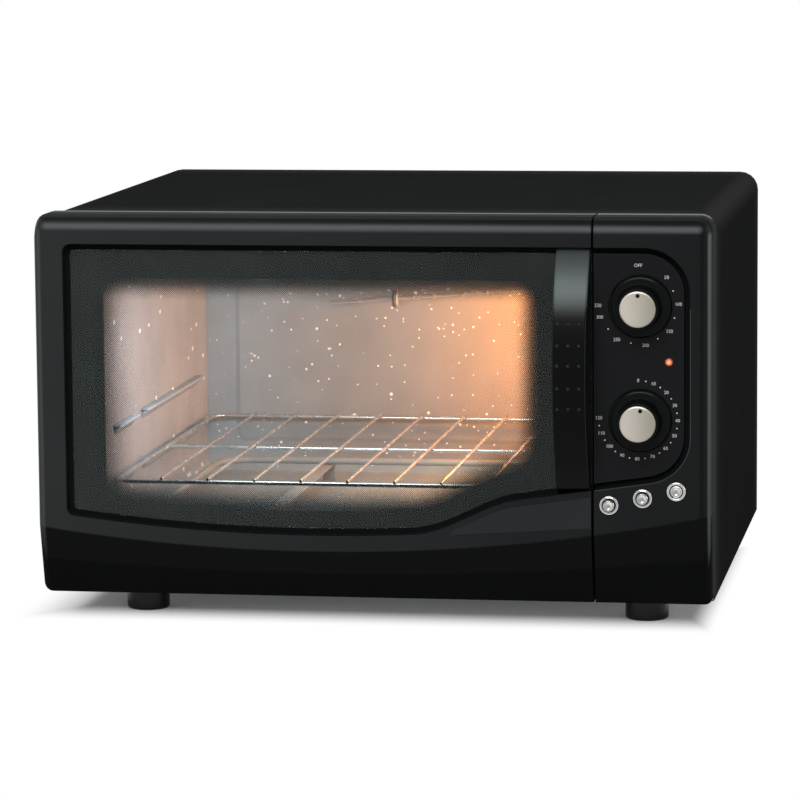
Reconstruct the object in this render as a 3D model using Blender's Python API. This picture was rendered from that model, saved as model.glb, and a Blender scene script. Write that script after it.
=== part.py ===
"""Electric countertop oven with a side-hung glass door on the left and a control panel on the right.

Metres, +Z up. The front faces -Y and +X is the viewer's right. The origin is the middle of the
footprint, on the surface that the feet stand on. Most outlines are drawn in the front's own frame:
x across, depth back from the front face, and z up, and their objects stand at FACE_Y.
"""
import math

import bmesh
import bpy
from mathutils import Vector

MM = 0.001

# General clearances and steel sheet
TOUCH = 0.3 * MM
OVERRUN = 6 * MM
RUNNING_GAP = 0.6 * MM
SHEET = 1.0 * MM

# Overall sizes
BODY_WIDTH = 580 * MM
BODY_DEPTH = 530 * MM
FRONT_HEIGHT = 328 * MM
FRONT_LIFT = 34 * MM
HANDLE_REACH = 32 * MM
GLAND_PROUD = 3 * MM

# Front mouldings: the door frame and the control panel share one section
MOULDING_DEPTH = 40 * MM
DOOR_GAP = 3 * MM
MOULDING_WALL = 3 * MM
FRONT_TOP_ROUND = 13 * MM
FRONT_SIDE_ROUND = 9 * MM
FRONT_CORNER = 12 * MM
FRONT_FOOT_CORNER = 6 * MM
SEAM_EDGE_ROUND = 1.2 * MM
HINGE_EDGE_ROUND = 8 * MM
APRON_SET_BACK = 15 * MM
KINK_RADIUS = 1600 * MM
KINK_LOW_ALONG = 240 * MM
KINK_LOW_HEIGHT = 42 * MM
PANEL_WIDTH = 100 * MM
SEAM_GAP = 1.6 * MM
REBATE = 1.5 * MM

# Groove that runs round the glass and on round the panel's island
FRAME_SIDE = 26 * MM
FRAME_TOP = 25 * MM
PANEL_SIDE = 18 * MM
GROOVE_OVER_KINK = 13 * MM
GROOVE_WIDTH = 5.4 * MM
GROOVE_CORNER = 7 * MM
PANEL_CORNER = 39 * MM
SHELF_HEIGHT_SHARE = 0.298
SHELF_ANGLE = math.radians(8.3)
RISE_START_BACK = 155 * MM
RISE_END_BACK = 65 * MM

# Glass and window
GLASS_SET_BACK = 5 * MM
GLASS_THICKNESS = 4 * MM
GLASS_LEDGE = 12 * MM
GLASS_CORNER = 3 * MM
WINDOW_STILE = 40 * MM
WINDOW_CORNER = 12 * MM
INNER_GLASS_LAP = 7 * MM
INNER_HOLE_LIFT = 70 * MM
INNER_HOLE_INSET = 5 * MM
INNER_HOLE_CORNER = 10 * MM

# Door hinge, striker and handle
HINGE_INSET = 9 * MM
HINGE_DEPTH = 28 * MM
HINGE_STILE = 28 * MM
HINGE_FROM_TOP = 27 * MM
HINGE_FROM_BOTTOM = 26 * MM
TONGUE_HALF_WIDTH = 4.5 * MM
TONGUE_THICKNESS = 2.5 * MM
TONGUE_PLAY = 0.8 * MM
LEAF_HEIGHT = 30 * MM
LEAF_WIDTH = 13.5 * MM
LEAF_THICKNESS = 2 * MM
PIN_RADIUS = 2.5 * MM
PIN_PLAY = 0.3 * MM
PIN_HALF_LENGTH = 10 * MM
STRIKER_FROM_SEAM = 12 * MM
STRIKER_THICKNESS = 3 * MM
STRIKER_HEIGHT = 14 * MM
STRIKER_REACH = 14 * MM
STRIKER_PLAY = 1.8 * MM
STRIKER_BASE = 12 * MM
STRIKER_BASE_HEIGHT = 24 * MM
STRIKER_BASE_THICKNESS = 1.2 * MM
CATCH_WALL = 2.6 * MM
HANDLE_WIDTH = 28.5 * MM
HANDLE_THICKNESS = 6 * MM
HANDLE_FROM_SEAM = 1.3 * MM
HANDLE_EDGE_ROUND = 1.8 * MM
HANDLE_END_GAP = 0.8 * MM

# Steel body
CASING_LIFT = 32 * MM
CASING_TOP_DROP = 1.5 * MM
CASING_SIDE_STEP = 0.4 * MM
CASING_CORNER = 17 * MM
CASING_HEM = 14 * MM
CASING_HEM_ROUND = 2 * MM
REAR_INSET = 1 * MM
BAY_HOLE_SIDE = 6 * MM
BAY_HOLE_BOTTOM = 26 * MM
BAY_HOLE_TOP = 17 * MM
BAY_HOLE_CORNER = 8 * MM
PARTITION_FROM_SEAM = 4 * MM

# Oven box
CAVITY_SIDE_GAP = 47 * MM
CAVITY_BAY_GAP = 41 * MM
CAVITY_REAR_GAP = 38 * MM
CAVITY_LIFT = 70 * MM
CAVITY_TOP_GAP = 40 * MM
CAVITY_CORNER = 14 * MM
CAVITY_FLANGE = 12 * MM
BACK_PRESS_MARGIN = 29 * MM
BACK_PRESS_HEIGHT = 4 * MM
BACK_PRESS_SLOPE = 4 * MM
PRESS_CORNER = 8 * MM
RAIL_REACH = 12 * MM
RAIL_HEIGHT = 12 * MM
RAIL_NOSE = 2 * MM
RAIL_LIFTS = (52.5 * MM, 99 * MM)
RAIL_FRONT_START = 45 * MM
RAIL_FRONT_LENGTH = 78 * MM
RAIL_BREAK = 32 * MM
RAIL_REAR_END = 46 * MM
WOOL_THICKNESS = 24 * MM
WOOL_BACK_THICKNESS = 22 * MM
GASKET_MARGIN = 4 * MM
GASKET_WIDTH = 8 * MM
GASKET_THICKNESS = 2.7 * MM

# Wire rack
RACK_FRAME_RADIUS = 2.2 * MM
RACK_MIDDLE_RADIUS = 2 * MM
RACK_WIRE_RADIUS = 1.6 * MM
RACK_WIRE_COUNT = 8
RACK_SIDE_INSET = 9.6 * MM
RACK_FRONT_INSET = 10 * MM
RACK_BACK_INSET = 12 * MM
RACK_CORNER = 12 * MM
WELD_DEPTH = 0.6 * MM

# Tubular heaters
HEATER_RADIUS = 3.25 * MM
HEATER_LOWER_LIFT = 20 * MM
HEATER_UPPER_DROP = 22 * MM
HEATER_FRONT_INSET = 75 * MM
HEATER_BACK_INSET = 65 * MM
HEATER_SIDE_INSET = 28 * MM
HEATER_BEND = 32 * MM
HEATER_TAIL = 55 * MM
SUPPORT_WIDTH = 12 * MM
SUPPORT_THICKNESS = 1.2 * MM
SUPPORT_ALONG = 124 * MM
SUPPORT_MARGIN = 9 * MM

# Oven lamp and thermostat bulb
LAMP_FROM_BULB = 83 * MM
LAMP_FROM_TOP = 72 * MM
LAMP_HOLE_RADIUS = 20 * MM
LAMP_FLANGE_RADIUS = 24 * MM
LAMP_FLANGE_THICKNESS = 1.6 * MM
LAMP_DOME_RADIUS = 17 * MM
LAMP_DOME_REACH = 22 * MM
LAMP_GLASS_WALL = 1.6 * MM
LAMP_BULB_RADIUS = 10 * MM
LAMP_BULB_REACH = 14 * MM
LAMP_BASE_RADIUS = 7 * MM
LAMP_BASE_LENGTH = 22 * MM
LAMP_HOLDER_RADIUS = 15 * MM
LAMP_HOLDER_FLANGE = 3 * MM
LAMP_HOLDER_LENGTH = 46 * MM
BULB_RADIUS = 2 * MM
BULB_ALONG = 128 * MM
BULB_FROM_TOP = 84.4 * MM
BULB_RISE = 23.8 * MM
BULB_WALL_GAP = 28 * MM
BULB_TAIL = 55 * MM
CLIP_ALONG = 193 * MM
CLIP_WIDTH = 8 * MM
CLIP_HEIGHT = 16 * MM
CLIP_STEM = 5 * MM
CLIP_THICKNESS = 1.4 * MM
CAPILLARY_RADIUS = 1.2 * MM

# Knobs and what they turn
KNOB_FROM_EDGE = 60 * MM
TEMPERATURE_HEIGHT_SHARE = 0.773
TIMER_HEIGHT_SHARE = 0.48
KNOB_RADIUS = 26.8 * MM
KNOB_RIM = 4.5 * MM
KNOB_RIM_ROUND = 1.5 * MM
KNOB_DISH = 2.6 * MM
KNOB_HUB_RADIUS = 18.6 * MM
KNOB_NOSE_RADIUS = 17 * MM
KNOB_HEIGHT = 24 * MM
KNOB_WALL = 2 * MM
KNOB_BOSS_RADIUS = 6 * MM
CAP_RADIUS = 15.2 * MM
CAP_SEAT = 1.2 * MM
CAP_CROWN = 1.6 * MM
SHAFT_RADIUS = 3 * MM
SHAFT_PLAY = 0.4 * MM
SHAFT_IN_KNOB = 15 * MM
SHAFT_IN_BODY = 9 * MM
SHAFT_HOLE_RADIUS = 4.5 * MM
BRACKET_THICKNESS = 1.2 * MM
BRACKET_SIDE_GAP = 8 * MM
BRACKET_OVER = 26 * MM
BRACKET_HOLE_RADIUS = 6 * MM
BRACKET_CORNER = 4 * MM
THERMOSTAT_RADIUS = 20 * MM
THERMOSTAT_LENGTH = 26 * MM
TIMER_SIDE = 44 * MM
TIMER_LENGTH = 36 * MM
TIMER_CORNER = 4 * MM

# Pilot lens
PILOT_FROM_EDGE = 36 * MM
PILOT_HEIGHT_SHARE = 0.631
PILOT_RADIUS = 3.4 * MM
PILOT_NECK_RADIUS = 2.6 * MM
PILOT_PROUD = 1.6 * MM
PILOT_BODY_RADIUS = 4.4 * MM
PILOT_BODY_LENGTH = 18 * MM

# Push buttons, bezels and switches
BUTTON_COUNT = 3
BUTTON_FROM_SEAM = 14 * MM
BUTTON_PITCH = 29 * MM
BUTTON_HEIGHT_SHARE = 0.2616
BUTTON_ROW_ANGLE = math.radians(12.5)
BEZEL_RADIUS = 8.2 * MM
BEZEL_PROUD = 2 * MM
BEZEL_SLEEVE_RADIUS = 6.4 * MM
BEZEL_SLEEVE_LENGTH = 7 * MM
BEZEL_BORE_RADIUS = 5.6 * MM
PLUNGER_RADIUS = 5.1 * MM
PLUNGER_PROUD = 3.6 * MM
PLUNGER_STEM_RADIUS = 2.4 * MM
PLUNGER_STROKE = 3 * MM
PLUNGER_HEAD_LENGTH = 9 * MM
SWITCH_WIDTH = 17 * MM
SWITCH_HEIGHT = 20 * MM
SWITCH_LENGTH = 26 * MM
STEM_IN_SWITCH = 5 * MM

# Feet, inlet and wiring block
FOOT_RADIUS = 19 * MM
FOOT_TOP_RADIUS = 18 * MM
FOOT_EDGE = 1.5 * MM
FOOT_SIDE_INSET = 67 * MM
FOOT_FRONT_INSET = 131 * MM
FOOT_REAR_INSET = 70 * MM
FOOT_SCREW_RADIUS = 5 * MM
FOOT_SCREW_DEPTH = 8 * MM
GLAND_FROM_EDGE = 45 * MM
GLAND_HEIGHT = 74 * MM
GLAND_FLANGE_RADIUS = 12 * MM
GLAND_NECK_RADIUS = 8 * MM
GLAND_BORE_RADIUS = 4 * MM
GLAND_INNER = 3 * MM
BLOCK_LENGTH = 58 * MM
BLOCK_WIDTH = 22 * MM
BLOCK_HEIGHT = 18 * MM
BLOCK_RIB = 2.4 * MM
BLOCK_WAYS = 3
BLOCK_FROM_REAR = 60 * MM

# Louvres of the rear panel and slots of the bottom panel
LOUVRE_WIDTH = 96 * MM
LOUVRE_HEIGHT = 8 * MM
LOUVRE_PROUD = 2.4 * MM
LOUVRE_PITCH = 17 * MM
LOUVRE_ROWS = 7
LOUVRE_COLUMNS = 3
LOUVRE_COLUMN_PITCH = 150 * MM
LOUVRE_FOOT = 120 * MM
SLOT_LENGTH = 70 * MM
SLOT_WIDTH = 5 * MM
SLOT_PITCH = 18 * MM
SLOT_COUNT = 8
SLOT_GROUP_INSET = 150 * MM

# How finely round forms are cut
CORNER_STEPS = 5
TURN_STEPS = 28
SMALL_TURN_STEPS = 16
TUBE_RESOLUTION = 2
WIRE_SIDES = 8
KINK_STEP = 40 * MM
RISE_STEPS = 10
HANDLE_STEPS = 18
SHARP_ANGLE = math.radians(32)
HANDLE_BEVEL_ANGLE = math.radians(35)
BULB_BALL_ANGLE = math.radians(110)

# Places that follow from the sizes above
LEFT_X = -BODY_WIDTH / 2
RIGHT_X = BODY_WIDTH / 2
SEAM_X = RIGHT_X - PANEL_WIDTH
DOOR_RIGHT_X = SEAM_X - SEAM_GAP / 2
PANEL_LEFT_X = SEAM_X + SEAM_GAP / 2
FACE_Y = HANDLE_REACH - (BODY_DEPTH + HANDLE_REACH + GLAND_PROUD) / 2
FRONT_BOTTOM_Z = FRONT_LIFT
FRONT_TOP_Z = FRONT_BOTTOM_Z + FRONT_HEIGHT
KINK_LOW_X = LEFT_X + KINK_LOW_ALONG
KINK_LOW_Z = FRONT_BOTTOM_Z + KINK_LOW_HEIGHT
GROOVE_LEFT_X = LEFT_X + FRAME_SIDE
GROOVE_RIGHT_X = RIGHT_X - PANEL_SIDE
GROOVE_TOP_Z = FRONT_TOP_Z - FRAME_TOP
GROOVE_DEPTH = GLASS_SET_BACK + GLASS_THICKNESS + TOUCH
RISE_START_X = SEAM_X - RISE_START_BACK
RISE_END_X = SEAM_X - RISE_END_BACK
SHELF_Z = FRONT_BOTTOM_Z + FRONT_HEIGHT * SHELF_HEIGHT_SHARE
WINDOW_MARGIN = GROOVE_WIDTH + GLASS_LEDGE
WINDOW_RIGHT_X = SEAM_X - WINDOW_STILE
HOLLOW_DEPTH = GROOVE_DEPTH + MOULDING_WALL
CASING_FRONT = MOULDING_DEPTH + DOOR_GAP + TOUCH
PANEL_DEPTH = CASING_FRONT - TOUCH
CASING_LEFT_X = LEFT_X + CASING_SIDE_STEP
CASING_RIGHT_X = RIGHT_X - CASING_SIDE_STEP
CASING_TOP_Z = FRONT_TOP_Z - CASING_TOP_DROP
INSIDE_LEFT_X = CASING_LEFT_X + SHEET + TOUCH
INSIDE_RIGHT_X = CASING_RIGHT_X - SHEET - TOUCH
INSIDE_TOP_Z = CASING_TOP_Z - SHEET - TOUCH
BOTTOM_PANEL_Z = CASING_LIFT + SHEET + TOUCH
INSIDE_BOTTOM_Z = BOTTOM_PANEL_Z + SHEET + TOUCH
INSIDE_CORNER = CASING_CORNER - SHEET - TOUCH
REAR_OUTER = BODY_DEPTH - REAR_INSET
REAR_INNER = REAR_OUTER - SHEET
FLANGE_BACK = CASING_FRONT + SHEET
CAVITY_FRONT = FLANGE_BACK + TOUCH
CAVITY_BACK = REAR_INNER - CAVITY_REAR_GAP
PARTITION_X = SEAM_X - PARTITION_FROM_SEAM
CAVITY_LEFT_X = LEFT_X + CAVITY_SIDE_GAP
CAVITY_RIGHT_X = PARTITION_X - CAVITY_BAY_GAP
CAVITY_FLOOR_Z = CAVITY_LIFT
CAVITY_TOP_Z = FRONT_TOP_Z - CAVITY_TOP_GAP
HINGE_X = LEFT_X + HINGE_INSET
HINGE_HEIGHTS = {"top": FRONT_TOP_Z - HINGE_FROM_TOP, "bottom": FRONT_BOTTOM_Z + HINGE_FROM_BOTTOM}
STRIKER_X = SEAM_X - STRIKER_FROM_SEAM
STRIKER_Z = (FRONT_TOP_Z + FRONT_BOTTOM_Z) / 2
KNOB_X = RIGHT_X - KNOB_FROM_EDGE
TEMPERATURE_Z = FRONT_BOTTOM_Z + FRONT_HEIGHT * TEMPERATURE_HEIGHT_SHARE
TIMER_Z = FRONT_BOTTOM_Z + FRONT_HEIGHT * TIMER_HEIGHT_SHARE
PILOT_X = RIGHT_X - PILOT_FROM_EDGE
PILOT_Z = FRONT_BOTTOM_Z + FRONT_HEIGHT * PILOT_HEIGHT_SHARE
BUTTON_Z = FRONT_BOTTOM_Z + FRONT_HEIGHT * BUTTON_HEIGHT_SHARE
BRACKET_FRONT = HOLLOW_DEPTH + TOUCH
BRACKET_BACK = BRACKET_FRONT + BRACKET_THICKNESS
RAIL_TOP_Z = CAVITY_FLOOR_Z + RAIL_LIFTS[0]
RACK_Z = RAIL_TOP_Z + TOUCH + RACK_FRAME_RADIUS
HEATER_LOWER_Z = CAVITY_FLOOR_Z + HEATER_LOWER_LIFT
HEATER_UPPER_Z = CAVITY_TOP_Z - HEATER_UPPER_DROP
HEATER_FRONT = CAVITY_FRONT + HEATER_FRONT_INSET
HEATER_BACK = CAVITY_BACK - HEATER_BACK_INSET
LAMP_Z = CAVITY_TOP_Z - LAMP_FROM_TOP
BULB_DEPTH = CAVITY_BACK - BULB_WALL_GAP
LAMP_DEPTH = BULB_DEPTH - LAMP_FROM_BULB
BULB_END_X = CAVITY_RIGHT_X + BULB_TAIL
GLAND_X = RIGHT_X - GLAND_FROM_EDGE

# Colours as (red, green, blue), roughness and metallic share of each finish
FINISHES = {
    "charcoal_moulding": ((0.030, 0.032, 0.032), 0.38, 0.0),
    "black_paint": ((0.020, 0.021, 0.020), 0.45, 0.0),
    "black_plastic": ((0.012, 0.012, 0.012), 0.35, 0.0),
    "dark_glass": ((0.05, 0.06, 0.06), 0.05, 0.0),
    "enamel": ((0.12, 0.12, 0.12), 0.40, 0.0),
    "zinc_steel": ((0.55, 0.56, 0.56), 0.40, 0.9),
    "bright_wire": ((0.75, 0.75, 0.74), 0.22, 1.0),
    "heater_tube": ((0.10, 0.09, 0.09), 0.55, 0.6),
    "knob_metal": ((0.60, 0.57, 0.51), 0.30, 1.0),
    "chrome": ((0.80, 0.80, 0.80), 0.12, 1.0),
    "mineral_wool": ((0.75, 0.72, 0.55), 0.95, 0.0),
    "silicone": ((0.06, 0.06, 0.06), 0.70, 0.0),
    "amber_lens": ((0.95, 0.30, 0.08), 0.20, 0.0),
    "lamp_glass": ((0.95, 0.93, 0.88), 0.08, 0.0),
    "porcelain": ((0.85, 0.84, 0.80), 0.35, 0.0),
    "switch_plastic": ((0.70, 0.70, 0.66), 0.50, 0.0),
    "copper": ((0.72, 0.42, 0.28), 0.35, 1.0),
}


def clear_scene():
    """Remove every object that the opened file holds."""
    for obj in list(bpy.data.objects):
        bpy.data.objects.remove(obj, do_unlink=True)


def finish(name):
    """The material of this name, made the first time it is asked for."""
    material = bpy.data.materials.get(name)
    if material is None:
        colour, roughness, metallic = FINISHES[name]
        material = bpy.data.materials.new(name)
        material.use_nodes = True
        shader = material.node_tree.nodes["Principled BSDF"]
        shader.inputs["Base Color"].default_value = (*colour, 1.0)
        shader.inputs["Roughness"].default_value = roughness
        shader.inputs["Metallic"].default_value = metallic
    return material


# Outlines

def edge_drop(radius, distance):
    """How far an edge rounded to this radius falls back, this far in from the edge."""
    if distance >= radius:
        return 0.0
    return radius - math.sqrt(radius ** 2 - (radius - distance) ** 2)


def rounded_outline(corners, steps=CORNER_STEPS):
    """Closed outline through (u, v, radius) corners, each rounded to its radius."""
    outline = []
    count = len(corners)
    for index, (u, v, radius) in enumerate(corners):
        here = Vector((u, v))
        if radius <= 0:
            outline.append(here)
            continue
        back = (Vector(corners[index - 1][:2]) - here).normalized()
        ahead = (Vector(corners[(index + 1) % count][:2]) - here).normalized()
        half = back.angle(ahead) / 2
        centre = here + (back + ahead).normalized() * (radius / math.sin(half))
        start = here + back * (radius / math.tan(half)) - centre
        turn = math.pi - 2 * half
        if back.cross(ahead) > 0:
            turn = -turn
        for step in range(steps + 1):
            angle = turn * step / steps
            cos, sin = math.cos(angle), math.sin(angle)
            outline.append(centre + Vector((start.x * cos - start.y * sin, start.x * sin + start.y * cos)))
    return outline


def rounded_box(left, right, low, high, radius, steps=CORNER_STEPS):
    """Outline of a rectangle with equal rounded corners."""
    corners = [(left, low, radius), (right, low, radius), (right, high, radius), (left, high, radius)]
    return rounded_outline(corners, steps)


def circle_outline(centre_u, centre_v, radius, steps=SMALL_TURN_STEPS):
    """Outline of a circle."""
    turns = [2 * math.pi * step / steps for step in range(steps)]
    return [Vector((centre_u + radius * math.cos(t), centre_v + radius * math.sin(t))) for t in turns]


def evenly(start, end, count):
    """Numbers from start up to, but not including, end."""
    return [start + (end - start) * step / count for step in range(count)]


# Meshes

def loft(rings, closed=False):
    """Mesh through rings of as many points each. An open loft is capped, a closed one joins its ends.

    A ring of one point is a pole.
    """
    mesh = bmesh.new()
    loops = [[mesh.verts.new(point) for point in ring] for ring in rings]
    pairs = list(zip(loops, loops[1:]))
    if closed:
        pairs.append((loops[-1], loops[0]))
    for first, second in pairs:
        size = max(len(first), len(second))
        for index in range(size):
            following = (index + 1) % size
            if len(first) == 1:
                mesh.faces.new((first[0], second[index], second[following]))
            elif len(second) == 1:
                mesh.faces.new((first[index], first[following], second[0]))
            else:
                mesh.faces.new((first[index], first[following], second[following], second[index]))
    if not closed:
        for ring in (loops[0], loops[-1]):
            if len(ring) > 1:
                mesh.faces.new(ring)
    bmesh.ops.recalc_face_normals(mesh, faces=mesh.faces)
    return mesh


def lift_point(point, level, axis):
    """Point of a (u, v) outline at this level along the axis that it is extruded on."""
    if axis == "X":
        return Vector((level, point.x, point.y))
    if axis == "Y":
        return Vector((point.x, level, point.y))
    return Vector((point.x, point.y, level))


def prism(outline, start, end, axis="Y"):
    """Outline extruded along an axis. The outline is (x, z) on Y, (y, z) on X and (x, y) on Z."""
    return loft([[lift_point(point, level, axis) for point in outline] for level in (start, end)])


def ring_prism(outer, inner, start, end, axis="Y"):
    """Frame between two outlines of as many points, extruded along an axis."""
    order = ((outer, start), (outer, end), (inner, end), (inner, start))
    rings = [[lift_point(point, level, axis) for point in outline] for outline, level in order]
    return loft(rings, closed=True)


def block(low, high):
    """Box between two corners."""
    outline = [Vector((low[0], low[2])), Vector((high[0], low[2])), Vector((high[0], high[2])),
               Vector((low[0], high[2]))]
    return prism(outline, low[1], high[1])


def turned(profile, closed=False, steps=TURN_STEPS):
    """(radius, height) profile turned about Z. A radius of 0 is a pole."""
    rings = []
    for radius, height in profile:
        if radius == 0:
            rings.append([Vector((0, 0, height))])
        else:
            rings.append([point.to_3d() + Vector((0, 0, height))
                          for point in circle_outline(0, 0, radius, steps)])
    return loft(rings, closed)


def cylinder(radius, start, end, steps=SMALL_TURN_STEPS):
    """Plain round bar on Z."""
    return turned([(0, start), (radius, start), (radius, end), (0, end)], steps=steps)


def merged(meshes):
    """One mesh that holds several separate bodies."""
    whole = bmesh.new()
    for part in meshes:
        scratch = bpy.data.meshes.new("scratch")
        part.to_mesh(scratch)
        part.free()
        whole.from_mesh(scratch)
        bpy.data.meshes.remove(scratch)
    return whole


# Objects

def place(obj, location, rotation=(0, 0, 0), parent=None):
    """Stand an object at a place in the part's frame, under its parent empty."""
    obj.rotation_euler = rotation
    obj.parent = parent
    obj.location = Vector(location) - (parent.location if parent else Vector((0, 0, 0)))
    bpy.context.scene.collection.objects.link(obj)
    return obj


def solid(name, mesh, material, location, rotation=(0, 0, 0), parent=None):
    """Object of one sub-part, round where it is round and sharp at its edges."""
    data = bpy.data.meshes.new(name)
    mesh.to_mesh(data)
    mesh.free()
    data.materials.append(finish(material))
    data.shade_smooth()
    data.set_sharp_from_angle(angle=SHARP_ANGLE)
    return place(bpy.data.objects.new(name, data), location, rotation, parent)


def copy_of(source, name, location):
    """Another object of the same mesh."""
    return place(bpy.data.objects.new(name, source.data), location, source.rotation_euler, source.parent)


def helper(target, name, mesh, operation):
    """Boolean with a helper that stands in its target's own frame and isn't rendered."""
    data = bpy.data.meshes.new(name)
    mesh.to_mesh(data)
    mesh.free()
    tool = bpy.data.objects.new(name, data)
    tool.hide_render = True
    tool.display_type = "WIRE"
    tool.rotation_euler = target.rotation_euler
    tool.parent = target.parent
    tool.location = target.location
    bpy.context.scene.collection.objects.link(tool)
    modifier = target.modifiers.new(name, "BOOLEAN")
    modifier.operation = operation
    modifier.solver = "EXACT"
    modifier.object = tool


def cut(target, name, mesh):
    """Take a shape away from a sub-part."""
    helper(target, f"cut_{name}", mesh, "DIFFERENCE")


def weld(target, name, mesh):
    """Add a shape to a sub-part."""
    helper(target, f"weld_{name}", mesh, "UNION")


def empty(name, location):
    """Parent for the pieces of one moving body, on its joint's axis."""
    guide = bpy.data.objects.new(name, None)
    guide.location = location
    bpy.context.scene.collection.objects.link(guide)
    return guide


def tube(name, points, radius, material, location):
    """Curve object of round section through points."""
    data = bpy.data.curves.new(name, "CURVE")
    data.dimensions = "3D"
    data.bevel_depth = radius
    data.bevel_resolution = TUBE_RESOLUTION
    data.use_fill_caps = True
    spline = data.splines.new("POLY")
    spline.points.add(len(points) - 1)
    for knot, point in zip(spline.points, points):
        knot.co = (*point, 1.0)
    data.materials.append(finish(material))
    return place(bpy.data.objects.new(name, data), location)


FRONT = (0, FACE_Y, 0)
FACING_FRONT = (math.radians(90), 0, 0)
FACING_BACK = (math.radians(-90), 0, 0)
FACING_LEFT = (0, math.radians(-90), 0)


# Lines of the front

def kink_z(x):
    """Height of the swept line where the front face turns back into the apron."""
    return KINK_LOW_Z + edge_drop(KINK_RADIUS, KINK_RADIUS - abs(x - KINK_LOW_X))


def groove_floor_z(x):
    """Lower edge of the groove: along the kink, then up in an S to the shelf under the panel."""
    low = kink_z(x) + GROOVE_OVER_KINK
    shelf = SHELF_Z + math.tan(SHELF_ANGLE) * (x - SEAM_X)
    share = min(1.0, max(0.0, (x - RISE_START_X) / (RISE_END_X - RISE_START_X)))
    return low + (shelf - low) * share * share * (3 - 2 * share)


def apron_depth(x, z):
    """How far the apron has fallen back at this height."""
    return APRON_SET_BACK * (kink_z(x) - z) / (kink_z(x) - FRONT_BOTTOM_Z)


def hollow_step_z(x, outer_x):
    """Height above which the rear hollow may be deep: below it the apron has come too far back at x."""
    spare = GROOVE_DEPTH - edge_drop(FRONT_SIDE_ROUND, abs(x - outer_x))
    return kink_z(x) - (kink_z(x) - FRONT_BOTTOM_Z) * min(1, spare / APRON_SET_BACK)


def moulding_section(x, outer_x, seam_x, depth, back_round):
    """(depth, height) outline of a front moulding at x."""
    from_outer = abs(x - outer_x)
    from_seam = abs(x - seam_x)
    face = edge_drop(FRONT_SIDE_ROUND, from_outer) + edge_drop(SEAM_EDGE_ROUND, from_seam)
    back = depth - edge_drop(back_round, from_outer)
    top = FRONT_TOP_Z - edge_drop(FRONT_CORNER, from_outer)
    bottom = FRONT_BOTTOM_Z + edge_drop(FRONT_FOOT_CORNER, from_outer)
    section = [(back, bottom), (face + apron_depth(x, bottom), bottom), (face, kink_z(x))]
    for step in range(CORNER_STEPS + 1):
        angle = math.pi / 2 * step / CORNER_STEPS
        section.append((face + FRONT_TOP_ROUND * (1 - math.cos(angle)),
                        top - FRONT_TOP_ROUND * (1 - math.sin(angle))))
    section.append((back, top))
    return [Vector((x, deep, high)) for deep, high in section]


def moulding_stations(outer_x, seam_x):
    """Places along x where a moulding's section changes, from its outer edge to its seam edge."""
    inward = math.copysign(1.0, seam_x - outer_x)
    turns = [math.pi / 2 * step / CORNER_STEPS for step in range(CORNER_STEPS + 1)]
    outer = [outer_x + inward * FRONT_CORNER * (1 - math.cos(turn)) for turn in turns]
    seam = [seam_x - inward * SEAM_EDGE_ROUND * share for share in (1.0, 0.3, 0.0)]
    count = max(2, round(abs(seam_x - outer_x) / KINK_STEP))
    return outer + evenly(outer[-1], seam[0], count)[1:] + seam


def moulding(outer_x, seam_x, depth, back_round):
    """Solid of a front moulding, lofted from its outer edge to the seam."""
    stations = moulding_stations(outer_x, seam_x)
    return loft([moulding_section(x, outer_x, seam_x, depth, back_round) for x in stations])


def door_outline(margin, right_x, corner, right_corner=0.0):
    """Outline inside the door's groove at a margin from the groove's outer edge."""
    left = GROOVE_LEFT_X + margin
    top = GROOVE_TOP_Z - margin
    lead = left + 3 * GROOVE_CORNER
    sweep_count = max(2, round((RISE_START_X - lead) / KINK_STEP))
    floor = evenly(lead, RISE_START_X, sweep_count) + evenly(RISE_START_X, RISE_END_X, RISE_STEPS)
    floor = [x for x in floor + [RISE_END_X] if x < right_x - 2 * right_corner]
    corners = [(right_x, top, right_corner), (left, top, corner)]
    corners.append((left, groove_floor_z(left) + margin, corner))
    corners.extend((x, groove_floor_z(x) + margin, 0) for x in floor)
    corners.append((right_x, groove_floor_z(right_x) + margin, right_corner))
    return rounded_outline(corners)


def panel_outline(margin, left_x):
    """Outline inside the panel's groove at a margin from the groove's outer edge."""
    right = GROOVE_RIGHT_X - margin
    top = GROOVE_TOP_Z - margin
    corner = PANEL_CORNER - margin
    corners = [(left_x, groove_floor_z(left_x) + margin, 0), (right, groove_floor_z(right) + margin, corner),
               (right, top, corner), (left_x, top, 0)]
    return rounded_outline(corners)


# Door

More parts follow.
